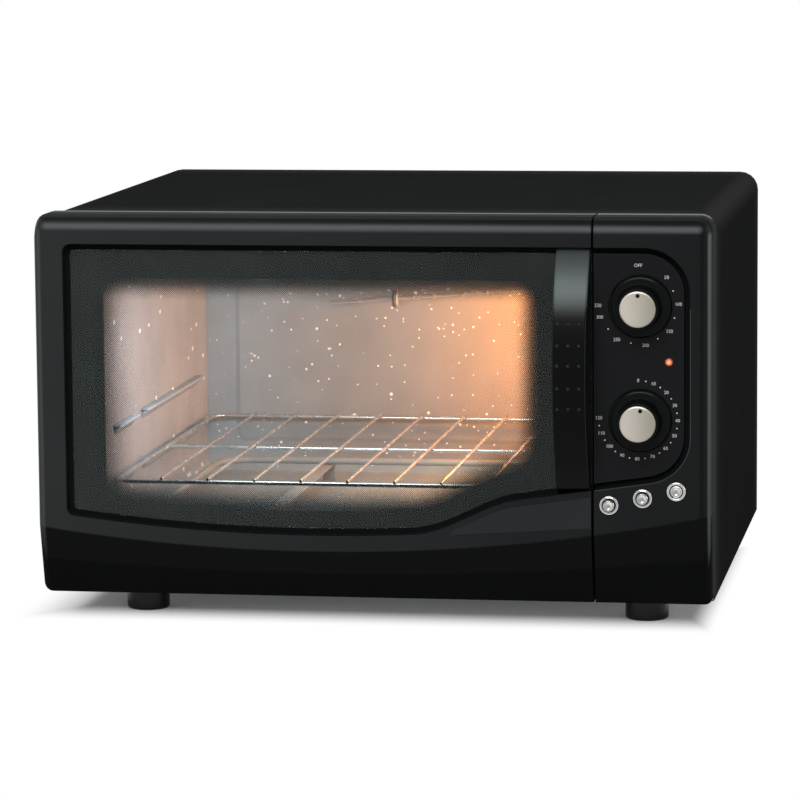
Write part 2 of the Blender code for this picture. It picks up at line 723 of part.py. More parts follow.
def make_door_frame(door):
    """Moulded frame: glass pocket, S-shaped window, open back and the two hinge slots."""
    frame = solid("door_frame", moulding(LEFT_X, DOOR_RIGHT_X, MOULDING_DEPTH, HINGE_EDGE_ROUND),
                  "charcoal_moulding", FRONT, parent=door)
    pocket = door_outline(0, DOOR_RIGHT_X + OVERRUN, GROOVE_CORNER)
    cut(frame, "door_pocket", prism(pocket, -OVERRUN, GROOVE_DEPTH))
    window = door_outline(WINDOW_MARGIN, WINDOW_RIGHT_X, WINDOW_CORNER, WINDOW_CORNER)
    cut(frame, "door_window", prism(window, 0, MOULDING_DEPTH + OVERRUN))
    left = LEFT_X + HINGE_STILE
    right = DOOR_RIGHT_X - MOULDING_WALL
    top = FRONT_TOP_Z - MOULDING_WALL
    bottom = FRONT_BOTTOM_Z + MOULDING_WALL
    rear = MOULDING_DEPTH + OVERRUN
    step = max(hollow_step_z(left, LEFT_X), hollow_step_z(right, LEFT_X))
    cut(frame, "door_hollow", block((left, HOLLOW_DEPTH, step), (right, rear, top)))
    cut(frame, "door_low_hollow", block((left, APRON_SET_BACK + MOULDING_WALL, bottom),
                                        (right, rear, step + MOULDING_WALL)))
    rebate_depth = MOULDING_DEPTH - SHEET - TOUCH
    cut(frame, "door_rebate", block((left - REBATE, rebate_depth, bottom - REBATE),
                                    (right + REBATE, rear, top + REBATE)))
    reach = TONGUE_HALF_WIDTH + TONGUE_PLAY
    slot_front = HINGE_DEPTH - HINGE_INSET - TOUCH
    half_slot = TONGUE_THICKNESS / 2 + TONGUE_PLAY
    for end, height in HINGE_HEIGHTS.items():
        cut(frame, f"hinge_slot_{end}", block((LEFT_X - OVERRUN, slot_front, height - half_slot),
                                              (HINGE_X + reach, rear, height + half_slot)))
        bore = circle_outline(HINGE_X, HINGE_DEPTH, PIN_RADIUS + PIN_PLAY)
        bore_half = PIN_HALF_LENGTH + RUNNING_GAP
        cut(frame, f"hinge_bore_{end}", prism(bore, height - bore_half, height + bore_half, "Z"))


def make_door_glass(door):
    """Outer pane, seated on the pocket's ledge with the groove left open round it."""
    outline = door_outline(GROOVE_WIDTH, DOOR_RIGHT_X - TOUCH, GLASS_CORNER)
    solid("door_glass", prism(outline, GLASS_SET_BACK, GLASS_SET_BACK + GLASS_THICKNESS), "dark_glass",
          FRONT, parent=door)


def inner_hole(lap):
    """Rounded hole of the door's inner panel, larger by a lap."""
    return rounded_box(CAVITY_LEFT_X + INNER_HOLE_INSET - lap, CAVITY_RIGHT_X - INNER_HOLE_INSET + lap,
                       FRONT_BOTTOM_Z + INNER_HOLE_LIFT - lap, CAVITY_TOP_Z - INNER_HOLE_INSET + lap,
                       INNER_HOLE_CORNER)


def make_door_inner(door):
    """Inner pane and the sheet panel that closes the door's back round it."""
    back = MOULDING_DEPTH
    front = back - SHEET
    panel = solid("door_inner_panel",
                  block((LEFT_X + HINGE_STILE - REBATE + TOUCH, front,
                         FRONT_BOTTOM_Z + MOULDING_WALL - REBATE + TOUCH),
                        (DOOR_RIGHT_X - MOULDING_WALL + REBATE - TOUCH, back,
                         FRONT_TOP_Z - MOULDING_WALL + REBATE - TOUCH)),
                  "black_paint", FRONT, parent=door)
    cut(panel, "inner_panel_hole", prism(inner_hole(0), front - OVERRUN, back + OVERRUN))
    glass_back = front - TOUCH
    solid("door_inner_glass", prism(inner_hole(INNER_GLASS_LAP), glass_back - GLASS_THICKNESS, glass_back),
          "lamp_glass", FRONT, parent=door)


def make_handle(door):
    """Flat strip bowed out over the glass. Its feet stand on the pane and reach over the groove."""
    foot = GLASS_SET_BACK - TOUCH
    top = GROOVE_TOP_Z - HANDLE_END_GAP
    right = DOOR_RIGHT_X - HANDLE_FROM_SEAM
    left = right - HANDLE_WIDTH
    bottom = groove_floor_z(left) + HANDLE_END_GAP
    middle = (top + bottom) / 2
    bow = HANDLE_REACH + foot
    half = (top - bottom) / 2
    radius = (half ** 2 + bow ** 2) / (2 * bow)
    centre = foot - bow + radius

    def arc(size):
        """Points of one face of the strip, from its lower end to its upper end."""
        reach = math.acos((centre - foot) / size)
        turns = [reach * (2 * step / HANDLE_STEPS - 1) for step in range(HANDLE_STEPS + 1)]
        return [Vector((centre - size * math.cos(turn), middle + size * math.sin(turn))) for turn in turns]

    outline = arc(radius) + arc(radius - HANDLE_THICKNESS)[::-1]
    handle = solid("door_handle", prism(outline, left, right, "X"), "black_plastic", FRONT, parent=door)
    past_left, past_right = left - OVERRUN, right + OVERRUN
    slant = [Vector((past_left, groove_floor_z(past_left) + HANDLE_END_GAP)),
             Vector((past_right, groove_floor_z(past_right) + HANDLE_END_GAP)),
             Vector((past_right, KINK_LOW_Z)), Vector((past_left, KINK_LOW_Z))]
    cut(handle, "handle_foot", prism(slant, -HANDLE_REACH - OVERRUN, HANDLE_REACH))
    bevel = handle.modifiers.new("edge_round", "BEVEL")
    bevel.width = HANDLE_EDGE_ROUND
    bevel.segments = 3
    bevel.limit_method = "ANGLE"
    bevel.angle_limit = HANDLE_BEVEL_ANGLE


def make_striker(door):
    """Tongue on the door's back that enters the catch."""
    base = MOULDING_DEPTH + TOUCH
    half = STRIKER_BASE / 2
    half_height = STRIKER_BASE_HEIGHT / 2
    base_back = base + STRIKER_BASE_THICKNESS
    striker = solid("door_striker", block((STRIKER_X - half, base, STRIKER_Z - half_height),
                                          (STRIKER_X + half, base_back, STRIKER_Z + half_height)),
                    "zinc_steel", FRONT, parent=door)
    tip = base_back + STRIKER_REACH
    low = STRIKER_Z - STRIKER_HEIGHT / 2
    high = STRIKER_Z + STRIKER_HEIGHT / 2
    nose = STRIKER_THICKNESS
    outline = rounded_outline([(base, low, 0), (tip, low, nose), (tip, high, nose), (base, high, 0)])
    half_tongue = STRIKER_THICKNESS / 2
    weld(striker, "striker_tongue", prism(outline, STRIKER_X - half_tongue, STRIKER_X + half_tongue, "X"))


def make_hinge_hardware():
    """Steel brackets behind the front flange, their tongues and the fixed pins."""
    leaf_front = FLANGE_BACK + TOUCH
    leaf_back = leaf_front + LEAF_THICKNESS
    for end, height in HINGE_HEIGHTS.items():
        half = TONGUE_HALF_WIDTH
        tongue = rounded_outline([(-half, leaf_back - HINGE_DEPTH, 0), (-half, -half, half - TOUCH),
                                  (half, -half, half - TOUCH), (half, leaf_back - HINGE_DEPTH, 0)])
        bracket = solid(f"hinge_bracket_{end}",
                        prism(tongue, -TONGUE_THICKNESS / 2, TONGUE_THICKNESS / 2, "Z"), "zinc_steel",
                        (HINGE_X, FACE_Y + HINGE_DEPTH, height))
        weld(bracket, f"hinge_leaf_{end}",
             block((-half, leaf_front - HINGE_DEPTH, -LEAF_HEIGHT / 2),
                   (LEAF_WIDTH - half, leaf_back - HINGE_DEPTH, LEAF_HEIGHT / 2)))
        hole = circle_outline(0, 0, PIN_RADIUS + PIN_PLAY)
        cut(bracket, f"hinge_eye_{end}", prism(hole, -LEAF_HEIGHT, LEAF_HEIGHT, "Z"))
        chamfer = PIN_PLAY
        profile = [(0, -PIN_HALF_LENGTH), (PIN_RADIUS - chamfer, -PIN_HALF_LENGTH),
                   (PIN_RADIUS, chamfer - PIN_HALF_LENGTH), (PIN_RADIUS, PIN_HALF_LENGTH - chamfer),
                   (PIN_RADIUS - chamfer, PIN_HALF_LENGTH), (0, PIN_HALF_LENGTH)]
        solid(f"hinge_pin_{end}", turned(profile, steps=SMALL_TURN_STEPS), "zinc_steel",
              (HINGE_X, FACE_Y + HINGE_DEPTH, height))


def make_catch():
    """Block behind the front flange that the striker enters."""
    front = FLANGE_BACK + TOUCH
    left = STRIKER_X - STRIKER_THICKNESS / 2 - STRIKER_PLAY
    right = STRIKER_X + STRIKER_THICKNESS / 2 + STRIKER_PLAY
    low = STRIKER_Z - STRIKER_HEIGHT / 2 - STRIKER_PLAY
    high = STRIKER_Z + STRIKER_HEIGHT / 2 + STRIKER_PLAY
    back = MOULDING_DEPTH + TOUCH + STRIKER_BASE_THICKNESS + STRIKER_REACH + STRIKER_PLAY
    wall = CATCH_WALL
    catch = solid("door_catch", block((left - wall, front, low - wall), (right + wall, back + wall, high + wall)),
                  "black_plastic", FRONT)
    cut(catch, "catch_pocket", block((left, front - OVERRUN, low), (right, back, high)))


# Steel body

def make_casing():
    """Painted wrap: two sides and the top in one bent sheet, hemmed in under the sides."""
    def path(offset):
        """Line of the sheet at an offset inwards, from the left hem to the right one."""
        left, right = CASING_LEFT_X + offset, CASING_RIGHT_X - offset
        low, high = CASING_LIFT + offset, CASING_TOP_Z - offset
        hem = CASING_HEM_ROUND - offset
        bend = CASING_CORNER - offset
        return [(CASING_LEFT_X + CASING_HEM, low, 0), (left, low, hem), (left, high, bend),
                (right, high, bend), (right, low, hem), (CASING_RIGHT_X - CASING_HEM, low, 0)]

    outline = rounded_outline(path(0) + path(SHEET)[::-1])
    solid("outer_casing", prism(outline, CASING_FRONT, BODY_DEPTH), "black_paint", FRONT)


def inside_outline():
    """Outline that fits inside the casing, with its two upper corners rounded."""
    return rounded_outline([(INSIDE_LEFT_X, INSIDE_BOTTOM_Z, 0), (INSIDE_RIGHT_X, INSIDE_BOTTOM_Z, 0),
                            (INSIDE_RIGHT_X, INSIDE_TOP_Z, INSIDE_CORNER),
                            (INSIDE_LEFT_X, INSIDE_TOP_Z, INSIDE_CORNER)])


def make_front_flange():
    """Steel front of the body: oven mouth, opening of the control bay, hinge and striker slots."""
    flange = solid("front_flange", prism(inside_outline(), CASING_FRONT, FLANGE_BACK), "black_paint", FRONT)
    start, end = CASING_FRONT - OVERRUN, FLANGE_BACK + OVERRUN
    cut(flange, "oven_mouth", prism(cavity_outline(0), start, end))
    bay = rounded_box(PANEL_LEFT_X + BAY_HOLE_SIDE, INSIDE_RIGHT_X - BAY_HOLE_SIDE,
                      FRONT_BOTTOM_Z + BAY_HOLE_BOTTOM, FRONT_TOP_Z - BAY_HOLE_TOP, BAY_HOLE_CORNER)
    cut(flange, "bay_opening", prism(bay, start, end))
    reach = TONGUE_HALF_WIDTH + TONGUE_PLAY
    half_slot = TONGUE_THICKNESS / 2 + TONGUE_PLAY
    slots = [block((HINGE_X - reach, start, height - half_slot), (HINGE_X + reach, end, height + half_slot))
             for height in HINGE_HEIGHTS.values()]
    half = STRIKER_THICKNESS / 2 + STRIKER_PLAY
    half_height = STRIKER_HEIGHT / 2 + STRIKER_PLAY
    slots.append(block((STRIKER_X - half, start, STRIKER_Z - half_height),
                       (STRIKER_X + half, end, STRIKER_Z + half_height)))
    cut(flange, "flange_slots", merged(slots))


def make_bottom_panel():
    """Bottom sheet with two groups of air slots."""
    panel = solid("bottom_panel", block((INSIDE_LEFT_X, CASING_FRONT, BOTTOM_PANEL_Z),
                                        (INSIDE_RIGHT_X, REAR_OUTER, BOTTOM_PANEL_Z + SHEET)),
                  "zinc_steel", FRONT)
    slots = []
    middle = (CASING_FRONT + REAR_OUTER) / 2
    first = middle - SLOT_PITCH * (SLOT_COUNT - 1) / 2
    for side_x in (LEFT_X + SLOT_GROUP_INSET, RIGHT_X - SLOT_GROUP_INSET):
        for row in range(SLOT_COUNT):
            depth = first + row * SLOT_PITCH
            outline = rounded_box(side_x - SLOT_LENGTH / 2, side_x + SLOT_LENGTH / 2,
                                  depth - SLOT_WIDTH / 2, depth + SLOT_WIDTH / 2,
                                  SLOT_WIDTH / 2 - TOUCH, steps=2)
            slots.append(prism(outline, BOTTOM_PANEL_Z - OVERRUN, BOTTOM_PANEL_Z + OVERRUN, "Z"))
    cut(panel, "bottom_slots", merged(slots))


def make_rear_panel():
    """Rear sheet with three columns of hooded louvres and the hole of the cable gland."""
    panel = solid("rear_panel", prism(inside_outline(), REAR_INNER, REAR_OUTER), "zinc_steel", FRONT)
    hoods, throats = [], []
    columns = [(column - (LOUVRE_COLUMNS - 1) / 2) * LOUVRE_COLUMN_PITCH for column in range(LOUVRE_COLUMNS)]
    for centre_x in columns:
        left, right = centre_x - LOUVRE_WIDTH / 2, centre_x + LOUVRE_WIDTH / 2
        for row in range(LOUVRE_ROWS):
            low = FRONT_BOTTOM_Z + LOUVRE_FOOT + row * LOUVRE_PITCH
            high = low + LOUVRE_HEIGHT
            fall = LOUVRE_HEIGHT / LOUVRE_PROUD
            hood = [Vector((REAR_OUTER - SHEET / 2, low)), Vector((REAR_OUTER + LOUVRE_PROUD, low)),
                    Vector((REAR_OUTER - SHEET / 2, high + fall * SHEET / 2))]
            hoods.append(prism(hood, left, right, "X"))
            foot = low - TOUCH
            throat = [Vector((REAR_INNER - SHEET, foot)),
                      Vector((REAR_INNER + LOUVRE_PROUD + TOUCH / fall, foot)),
                      Vector((REAR_INNER - SHEET, high + fall * SHEET))]
            throats.append(prism(throat, left + SHEET, right - SHEET, "X"))
    weld(panel, "louvre_hoods", merged(hoods))
    cut(panel, "louvre_throats", merged(throats))
    gland = circle_outline(GLAND_X, GLAND_HEIGHT, GLAND_NECK_RADIUS + TOUCH)
    cut(panel, "gland_hole", prism(gland, REAR_INNER - OVERRUN, REAR_OUTER + OVERRUN))


def make_partition():
    """Sheet between the oven box and the control bay, with holes for what crosses it."""
    wall = solid("partition", block((PARTITION_X, FLANGE_BACK + TOUCH, INSIDE_BOTTOM_Z),
                                    (PARTITION_X + SHEET, REAR_INNER - TOUCH, INSIDE_TOP_Z)),
                 "zinc_steel", FRONT)
    cut(wall, "partition_holes", merged(side_holes(PARTITION_X - OVERRUN, PARTITION_X + OVERRUN,
                                                   LAMP_HOLDER_RADIUS + RUNNING_GAP)))


# Oven box

def cavity_outline(grow):
    """Rounded outline of the oven box, larger by an amount."""
    return rounded_box(CAVITY_LEFT_X - grow, CAVITY_RIGHT_X + grow, CAVITY_FLOOR_Z - grow,
                       CAVITY_TOP_Z + grow, max(CAVITY_CORNER + grow, PRESS_CORNER))


def bulb_height(x):
    """Height of the thermostat bulb's centre line, which climbs to the right."""
    length = BULB_END_X - (CAVITY_LEFT_X + BULB_ALONG)
    return CAVITY_TOP_Z - BULB_FROM_TOP + BULB_RISE * (x - CAVITY_LEFT_X - BULB_ALONG) / length


def side_holes(start_x, end_x, lamp_radius):
    """Bars along x where heaters, lamp and thermostat bulb cross a wall on the right."""
    crossings = [(depth, height, HEATER_RADIUS + RUNNING_GAP)
                 for depth in (HEATER_FRONT, HEATER_BACK) for height in (HEATER_LOWER_Z, HEATER_UPPER_Z)]
    crossings.append((LAMP_DEPTH, LAMP_Z, lamp_radius))
    middle_z = bulb_height((start_x + end_x) / 2)
    climb = abs(bulb_height(end_x) - bulb_height(start_x)) / 2
    crossings.append((BULB_DEPTH, middle_z, BULB_RADIUS + climb + RUNNING_GAP))
    return [prism(circle_outline(depth, height, radius), start_x, end_x, "X")
            for depth, height, radius in crossings]


def make_cavity():
    """Enamelled box: flanged mouth, pressed back and pressed rack rails on both side walls."""
    inner_press = cavity_outline(-BACK_PRESS_MARGIN)
    inner_top = cavity_outline(-BACK_PRESS_MARGIN - BACK_PRESS_SLOPE)
    flange = cavity_outline(CAVITY_FLANGE)
    wall, skin = cavity_outline(0), cavity_outline(SHEET)
    back, front = CAVITY_BACK, CAVITY_FRONT
    raised = back - BACK_PRESS_HEIGHT
    order = [(inner_top, raised), (inner_press, back), (wall, back), (wall, front), (flange, front),
             (flange, front + SHEET), (skin, front + SHEET), (skin, back + SHEET),
             (inner_press, back + SHEET), (inner_top, raised + SHEET)]
    rings = [[lift_point(point, level, "Y") for point in outline] for outline, level in order]
    cavity = solid("cavity", loft(rings), "enamel", FRONT)
    rails, recesses = [], []
    start = CAVITY_FRONT + RAIL_FRONT_START
    break_start = start + RAIL_FRONT_LENGTH
    spans = ((start, break_start), (break_start + RAIL_BREAK, CAVITY_BACK - RAIL_REAR_END))
    for wall_x, inward in ((CAVITY_LEFT_X, 1), (CAVITY_RIGHT_X, -1)):
        for lift in RAIL_LIFTS:
            top = CAVITY_FLOOR_Z + lift
            for first, last in spans:
                rails.append(rail(wall_x, inward, first, last, top, 0))
                recesses.append(rail(wall_x, inward, first, last, top, SHEET))
    weld(cavity, "cavity_rails", merged(rails))
    cut(cavity, "cavity_recesses", merged(recesses))
    cut(cavity, "cavity_holes", merged(side_holes(CAVITY_RIGHT_X - OVERRUN, CAVITY_RIGHT_X + OVERRUN,
                                                  LAMP_HOLE_RADIUS)))


def rail(wall_x, inward, first, last, top, inset):
    """Body of one pressed rail, or of the recess behind it when inset by the sheet."""
    def outline(shrink):
        """Rounded end to end, smaller by an amount."""
        half = RAIL_HEIGHT / 2 - shrink
        return rounded_box(first + shrink, last - shrink, top - RAIL_HEIGHT + shrink, top - shrink,
                           half - TOUCH, steps=4)

    root = wall_x - inward * (SHEET / 2 + (OVERRUN if inset else 0))
    nose = wall_x + inward * (RAIL_REACH - inset)
    levels = ((outline(inset), root), (outline(inset), nose - inward * RAIL_NOSE),
              (outline(inset + RAIL_NOSE), nose))
    return loft([[lift_point(point, level, "X") for point in shape] for shape, level in levels])


def make_wool():
    """Mineral wool bent over the oven box, and a slab behind it."""
    inner = SHEET + TOUCH
    outer = inner + WOOL_THICKNESS

    def path(offset):
        """Line of the wool at an offset outwards, from the left foot over the top to the right one."""
        left, right = CAVITY_LEFT_X - offset, CAVITY_RIGHT_X + offset
        high = CAVITY_TOP_Z + offset
        bend = CAVITY_CORNER + offset
        low = CAVITY_FLOOR_Z
        return [(left, low, 0), (left, high, bend), (right, high, bend), (right, low, 0)]

    outline = rounded_outline(path(outer) + path(inner)[::-1])
    start = CAVITY_FRONT + SHEET + TOUCH
    wrap = solid("insulation_wrap", prism(outline, start, CAVITY_BACK + SHEET), "mineral_wool", FRONT)
    cut(wrap, "wool_holes", merged(side_holes(CAVITY_RIGHT_X + TOUCH, CAVITY_RIGHT_X + outer + OVERRUN,
                                              LAMP_FLANGE_RADIUS + TOUCH)))
    slab_front = CAVITY_BACK + SHEET + TOUCH
    slab = rounded_box(CAVITY_LEFT_X, CAVITY_RIGHT_X, CAVITY_FLOOR_Z, CAVITY_TOP_Z, CAVITY_CORNER)
    solid("insulation_back", prism(slab, slab_front, slab_front + WOOL_BACK_THICKNESS), "mineral_wool", FRONT)


def make_gasket():
    """Flat seal round the oven mouth, on the front flange."""
    back = CASING_FRONT - TOUCH
    outer = cavity_outline(GASKET_MARGIN + GASKET_WIDTH)
    inner = cavity_outline(GASKET_MARGIN)
    solid("door_gasket", ring_prism(outer, inner, back - GASKET_THICKNESS, back), "silicone", FRONT)


def make_rack(slide):
    """Welded wire rack: a closed frame, a middle wire across it and the long wires on top."""
    left = CAVITY_LEFT_X + RACK_SIDE_INSET
    right = CAVITY_RIGHT_X - RACK_SIDE_INSET
    front = CAVITY_FRONT + RACK_FRONT_INSET
    back = CAVITY_BACK - RACK_BACK_INSET
    loop = [point.to_3d() for point in rounded_box(left, right, front, back, RACK_CORNER)]
    section = circle_outline(0, 0, RACK_FRAME_RADIUS, WIRE_SIDES)
    rings = []
    for index, point in enumerate(loop):
        along = (loop[(index + 1) % len(loop)] - loop[index - 1]).normalized()
        across = Vector((along.y, -along.x, 0))
        rings.append([point + across * turn.x + Vector((0, 0, turn.y)) for turn in section])
    rack = solid("wire_rack", loft(rings, closed=True), "bright_wire", (0, FACE_Y, RACK_Z), parent=slide)
    middle = circle_outline((front + back) / 2, 0, RACK_MIDDLE_RADIUS, WIRE_SIDES)
    weld(rack, "rack_middle", prism(middle, left, right, "X"))
    lift = RACK_FRAME_RADIUS + RACK_WIRE_RADIUS - WELD_DEPTH
    pitch = (right - left) / (RACK_WIRE_COUNT + 1)
    wires = [prism(circle_outline(left + pitch * (wire + 1), lift, RACK_WIRE_RADIUS, WIRE_SIDES),
                   front - RACK_WIRE_RADIUS, back + RACK_WIRE_RADIUS) for wire in range(RACK_WIRE_COUNT)]
    weld(rack, "rack_wires", merged(wires))


def make_heaters():
    """Two U-bent tubular heaters, each on a bent strip that spans the box from front to back."""
    tail = CAVITY_RIGHT_X + HEATER_TAIL
    far = CAVITY_LEFT_X + HEATER_SIDE_INSET
    path = rounded_outline([(tail, HEATER_FRONT, 0), (far, HEATER_FRONT, HEATER_BEND),
                            (far, HEATER_BACK, HEATER_BEND), (tail, HEATER_BACK, 0)])
    points = [point.to_3d() for point in path]
    tube("heater_lower", points, HEATER_RADIUS, "heater_tube", (0, FACE_Y, HEATER_LOWER_Z))
    tube("heater_upper", points, HEATER_RADIUS, "heater_tube", (0, FACE_Y, HEATER_UPPER_Z))
    make_support("heater_support_lower", HEATER_LOWER_Z, CAVITY_FLOOR_Z + TOUCH)
    make_support("heater_support_upper", HEATER_UPPER_Z, CAVITY_TOP_Z - TOUCH)


def make_support(name, heater_z, wall_z):
    """Strip under a heater's two runs, with a leg at each end to the floor or the roof of the box."""
    top = heater_z - HEATER_RADIUS - TOUCH
    low = top - SUPPORT_THICKNESS
    outer_front = HEATER_FRONT - SUPPORT_MARGIN
    outer_back = HEATER_BACK + SUPPORT_MARGIN
    inner_front = outer_front + SUPPORT_THICKNESS
    inner_back = outer_back - SUPPORT_THICKNESS
    inside, outside = (low, top) if wall_z < low else (top, low)
    corners = [(outer_front, wall_z), (inner_front, wall_z), (inner_front, inside), (inner_back, inside),
               (inner_back, wall_z), (outer_back, wall_z), (outer_back, outside), (outer_front, outside)]
    left = CAVITY_LEFT_X + SUPPORT_ALONG
    outline = [Vector(corner) for corner in corners]
    solid(name, prism(outline, left, left + SUPPORT_WIDTH, "X"), "zinc_steel", FRONT)


def make_lamp():
    """Glass dome on the right wall, the bulb inside it and the holder in the wool behind it."""
    place_at = (CAVITY_RIGHT_X, FACE_Y + LAMP_DEPTH, LAMP_Z)
    flange = LAMP_FLANGE_THICKNESS + TOUCH
    inner = LAMP_DOME_RADIUS - LAMP_GLASS_WALL
    crown = LAMP_DOME_RADIUS / 2
    dome = LAMP_DOME_REACH
    shoulder = dome - crown
    top = dome - crown / 3
    profile = [(0, dome), (crown, top), (LAMP_DOME_RADIUS, shoulder), (LAMP_DOME_RADIUS, flange),
               (LAMP_FLANGE_RADIUS, flange), (LAMP_FLANGE_RADIUS, TOUCH), (inner, TOUCH), (inner, shoulder),
               (crown - LAMP_GLASS_WALL, top - LAMP_GLASS_WALL), (0, dome - LAMP_GLASS_WALL)]
    solid("lamp_glass", turned(profile, steps=SMALL_TURN_STEPS), "lamp_glass", place_at, FACING_LEFT)
    middle = LAMP_BULB_REACH - LAMP_BULB_RADIUS
    seat = middle - LAMP_BULB_RADIUS
    end = seat - LAMP_BASE_LENGTH
    turns = [BULB_BALL_ANGLE * step / CORNER_STEPS for step in range(1, CORNER_STEPS + 1)]
    ball = [(LAMP_BULB_RADIUS * math.sin(turn), middle + LAMP_BULB_RADIUS * math.cos(turn)) for turn in turns]
    profile = [(0, LAMP_BULB_REACH)] + ball + [(LAMP_BASE_RADIUS, seat), (LAMP_BASE_RADIUS, end), (0, end)]
    solid("lamp_bulb", turned(profile, steps=SMALL_TURN_STEPS), "lamp_glass", place_at, FACING_LEFT)
    front = -SHEET - TOUCH
    flange_back = front - LAMP_HOLDER_FLANGE
    rear = front - LAMP_HOLDER_LENGTH
    bore = LAMP_BASE_RADIUS + TOUCH
    cup = LAMP_BULB_RADIUS + RUNNING_GAP
    profile = [(0, end - TOUCH), (bore, end - TOUCH), (bore, seat - TOUCH), (cup, seat - TOUCH), (cup, front),
               (LAMP_FLANGE_RADIUS, front), (LAMP_FLANGE_RADIUS, flange_back),
               (LAMP_HOLDER_RADIUS, flange_back), (LAMP_HOLDER_RADIUS, rear), (0, rear)]
    solid("lamp_holder", turned(profile, steps=SMALL_TURN_STEPS), "porcelain", place_at, FACING_LEFT)


def make_thermostat_bulb():
    """Long bulb of the thermostat near the back wall, its clip, and the capillary through the bay."""
    start = CAVITY_LEFT_X + BULB_ALONG
    ends = [Vector((x, 0, bulb_height(x))) for x in (start, BULB_END_X)]
    tube("thermostat_bulb", ends, BULB_RADIUS, "bright_wire", (0, FACE_Y + BULB_DEPTH, 0))
    clip_x = CAVITY_LEFT_X + CLIP_ALONG
    height = bulb_height(clip_x)
    back = CAVITY_BACK - BACK_PRESS_HEIGHT - TOUCH - BULB_DEPTH
    half_width, half_height, half_stem = CLIP_WIDTH / 2, CLIP_HEIGHT / 2, CLIP_STEM / 2
    bend = half_width - TOUCH
    outline = rounded_outline([(-half_width, -half_height, bend), (half_width, -half_height, bend),
                               (half_width, -half_stem, 0), (back, -half_stem, 0), (back, half_stem, 0),
                               (half_width, half_stem, 0), (half_width, half_height, bend),
                               (-half_width, half_height, bend)])
    clip = solid("bulb_clip", prism(outline, -CLIP_THICKNESS / 2, CLIP_THICKNESS / 2, "X"), "zinc_steel",
                 (clip_x, FACE_Y + BULB_DEPTH, height))
    eye = circle_outline(0, 0, BULB_RADIUS + TOUCH)
    cut(clip, "clip_eye", prism(eye, -CLIP_WIDTH, CLIP_WIDTH, "X"))
    body_back = BRACKET_BACK + TOUCH + THERMOSTAT_LENGTH + TOUCH
    bay_x = (BULB_END_X + KNOB_X) / 2
    route = [Vector((BULB_END_X + TOUCH, BULB_DEPTH, bulb_height(BULB_END_X))),
             Vector((bay_x, BULB_DEPTH, bulb_height(BULB_END_X))),
             Vector((bay_x, (BULB_DEPTH + body_back) / 2, TEMPERATURE_Z)),
             Vector((KNOB_X, body_back + THERMOSTAT_LENGTH, TEMPERATURE_Z)),
             Vector((KNOB_X, body_back, TEMPERATURE_Z))]
    tube("capillary", smooth_route(route), CAPILLARY_RADIUS, "copper", FRONT)


def smooth_route(route, steps=CORNER_STEPS):
    """Points of a soft curve along a route, straight over the outer halves of its first and last legs."""
    joints = [(start + end) / 2 for start, end in zip(route, route[1:])]
    points = [route[0], joints[0]]
    for start, control, end in zip(joints, route[1:-1], joints[1:]):
        for step in range(1, steps + 1):
            share = step / steps
            first = start.lerp(control, share)
            points.append(first.lerp(control.lerp(end, share), share))
    return points + [route[-1]]


# Control panel

def button_places():
    """(x, z) of the push buttons, along a row that climbs to the right."""
    first = SEAM_X + BUTTON_FROM_SEAM
    places = []
    for index in range(BUTTON_COUNT):
        along = index * BUTTON_PITCH
        places.append((first + along * math.cos(BUTTON_ROW_ANGLE),
                       BUTTON_Z + along * math.sin(BUTTON_ROW_ANGLE)))
    return places


def make_control_panel():
    """Moulded fascia: grooved island, holes for shafts, lens and buttons, open at its back."""
    panel = solid("control_panel", moulding(RIGHT_X, PANEL_LEFT_X, PANEL_DEPTH, 0),
                  "charcoal_moulding", FRONT)
    start = SEAM_X - OVERRUN - GROOVE_WIDTH
    cut(panel, "island_pocket", prism(panel_outline(0, start), -OVERRUN, GLASS_SET_BACK))
    channel = ring_prism(panel_outline(0, start), panel_outline(GROOVE_WIDTH, start + GROOVE_WIDTH / 2),
                         0, GROOVE_DEPTH)
    cut(panel, "island_channel", channel)
    left = PANEL_LEFT_X + MOULDING_WALL
    right = RIGHT_X - MOULDING_WALL
    rear = PANEL_DEPTH + OVERRUN
    step = hollow_step_z(right, RIGHT_X)
    cut(panel, "panel_hollow", block((left, HOLLOW_DEPTH, step),
                                     (right, rear, FRONT_TOP_Z - FRONT_CORNER / 2 - MOULDING_WALL)))
    low_front = APRON_SET_BACK + edge_drop(FRONT_SIDE_ROUND, MOULDING_WALL) + MOULDING_WALL
    cut(panel, "panel_low_hollow", block((left, low_front,
                                          FRONT_BOTTOM_Z + FRONT_FOOT_CORNER / 2 + MOULDING_WALL),
                                         (right, rear, step + MOULDING_WALL)))
    holes = [circle_outline(KNOB_X, height, SHAFT_HOLE_RADIUS) for height in (TEMPERATURE_Z, TIMER_Z)]
    holes.append(circle_outline(PILOT_X, PILOT_Z, PILOT_NECK_RADIUS + TOUCH))
    holes.extend(circle_outline(x, z, BEZEL_SLEEVE_RADIUS + TOUCH) for x, z in button_places())
    cut(panel, "panel_holes", merged([prism(hole, -OVERRUN, HOLLOW_DEPTH + OVERRUN) for hole in holes]))


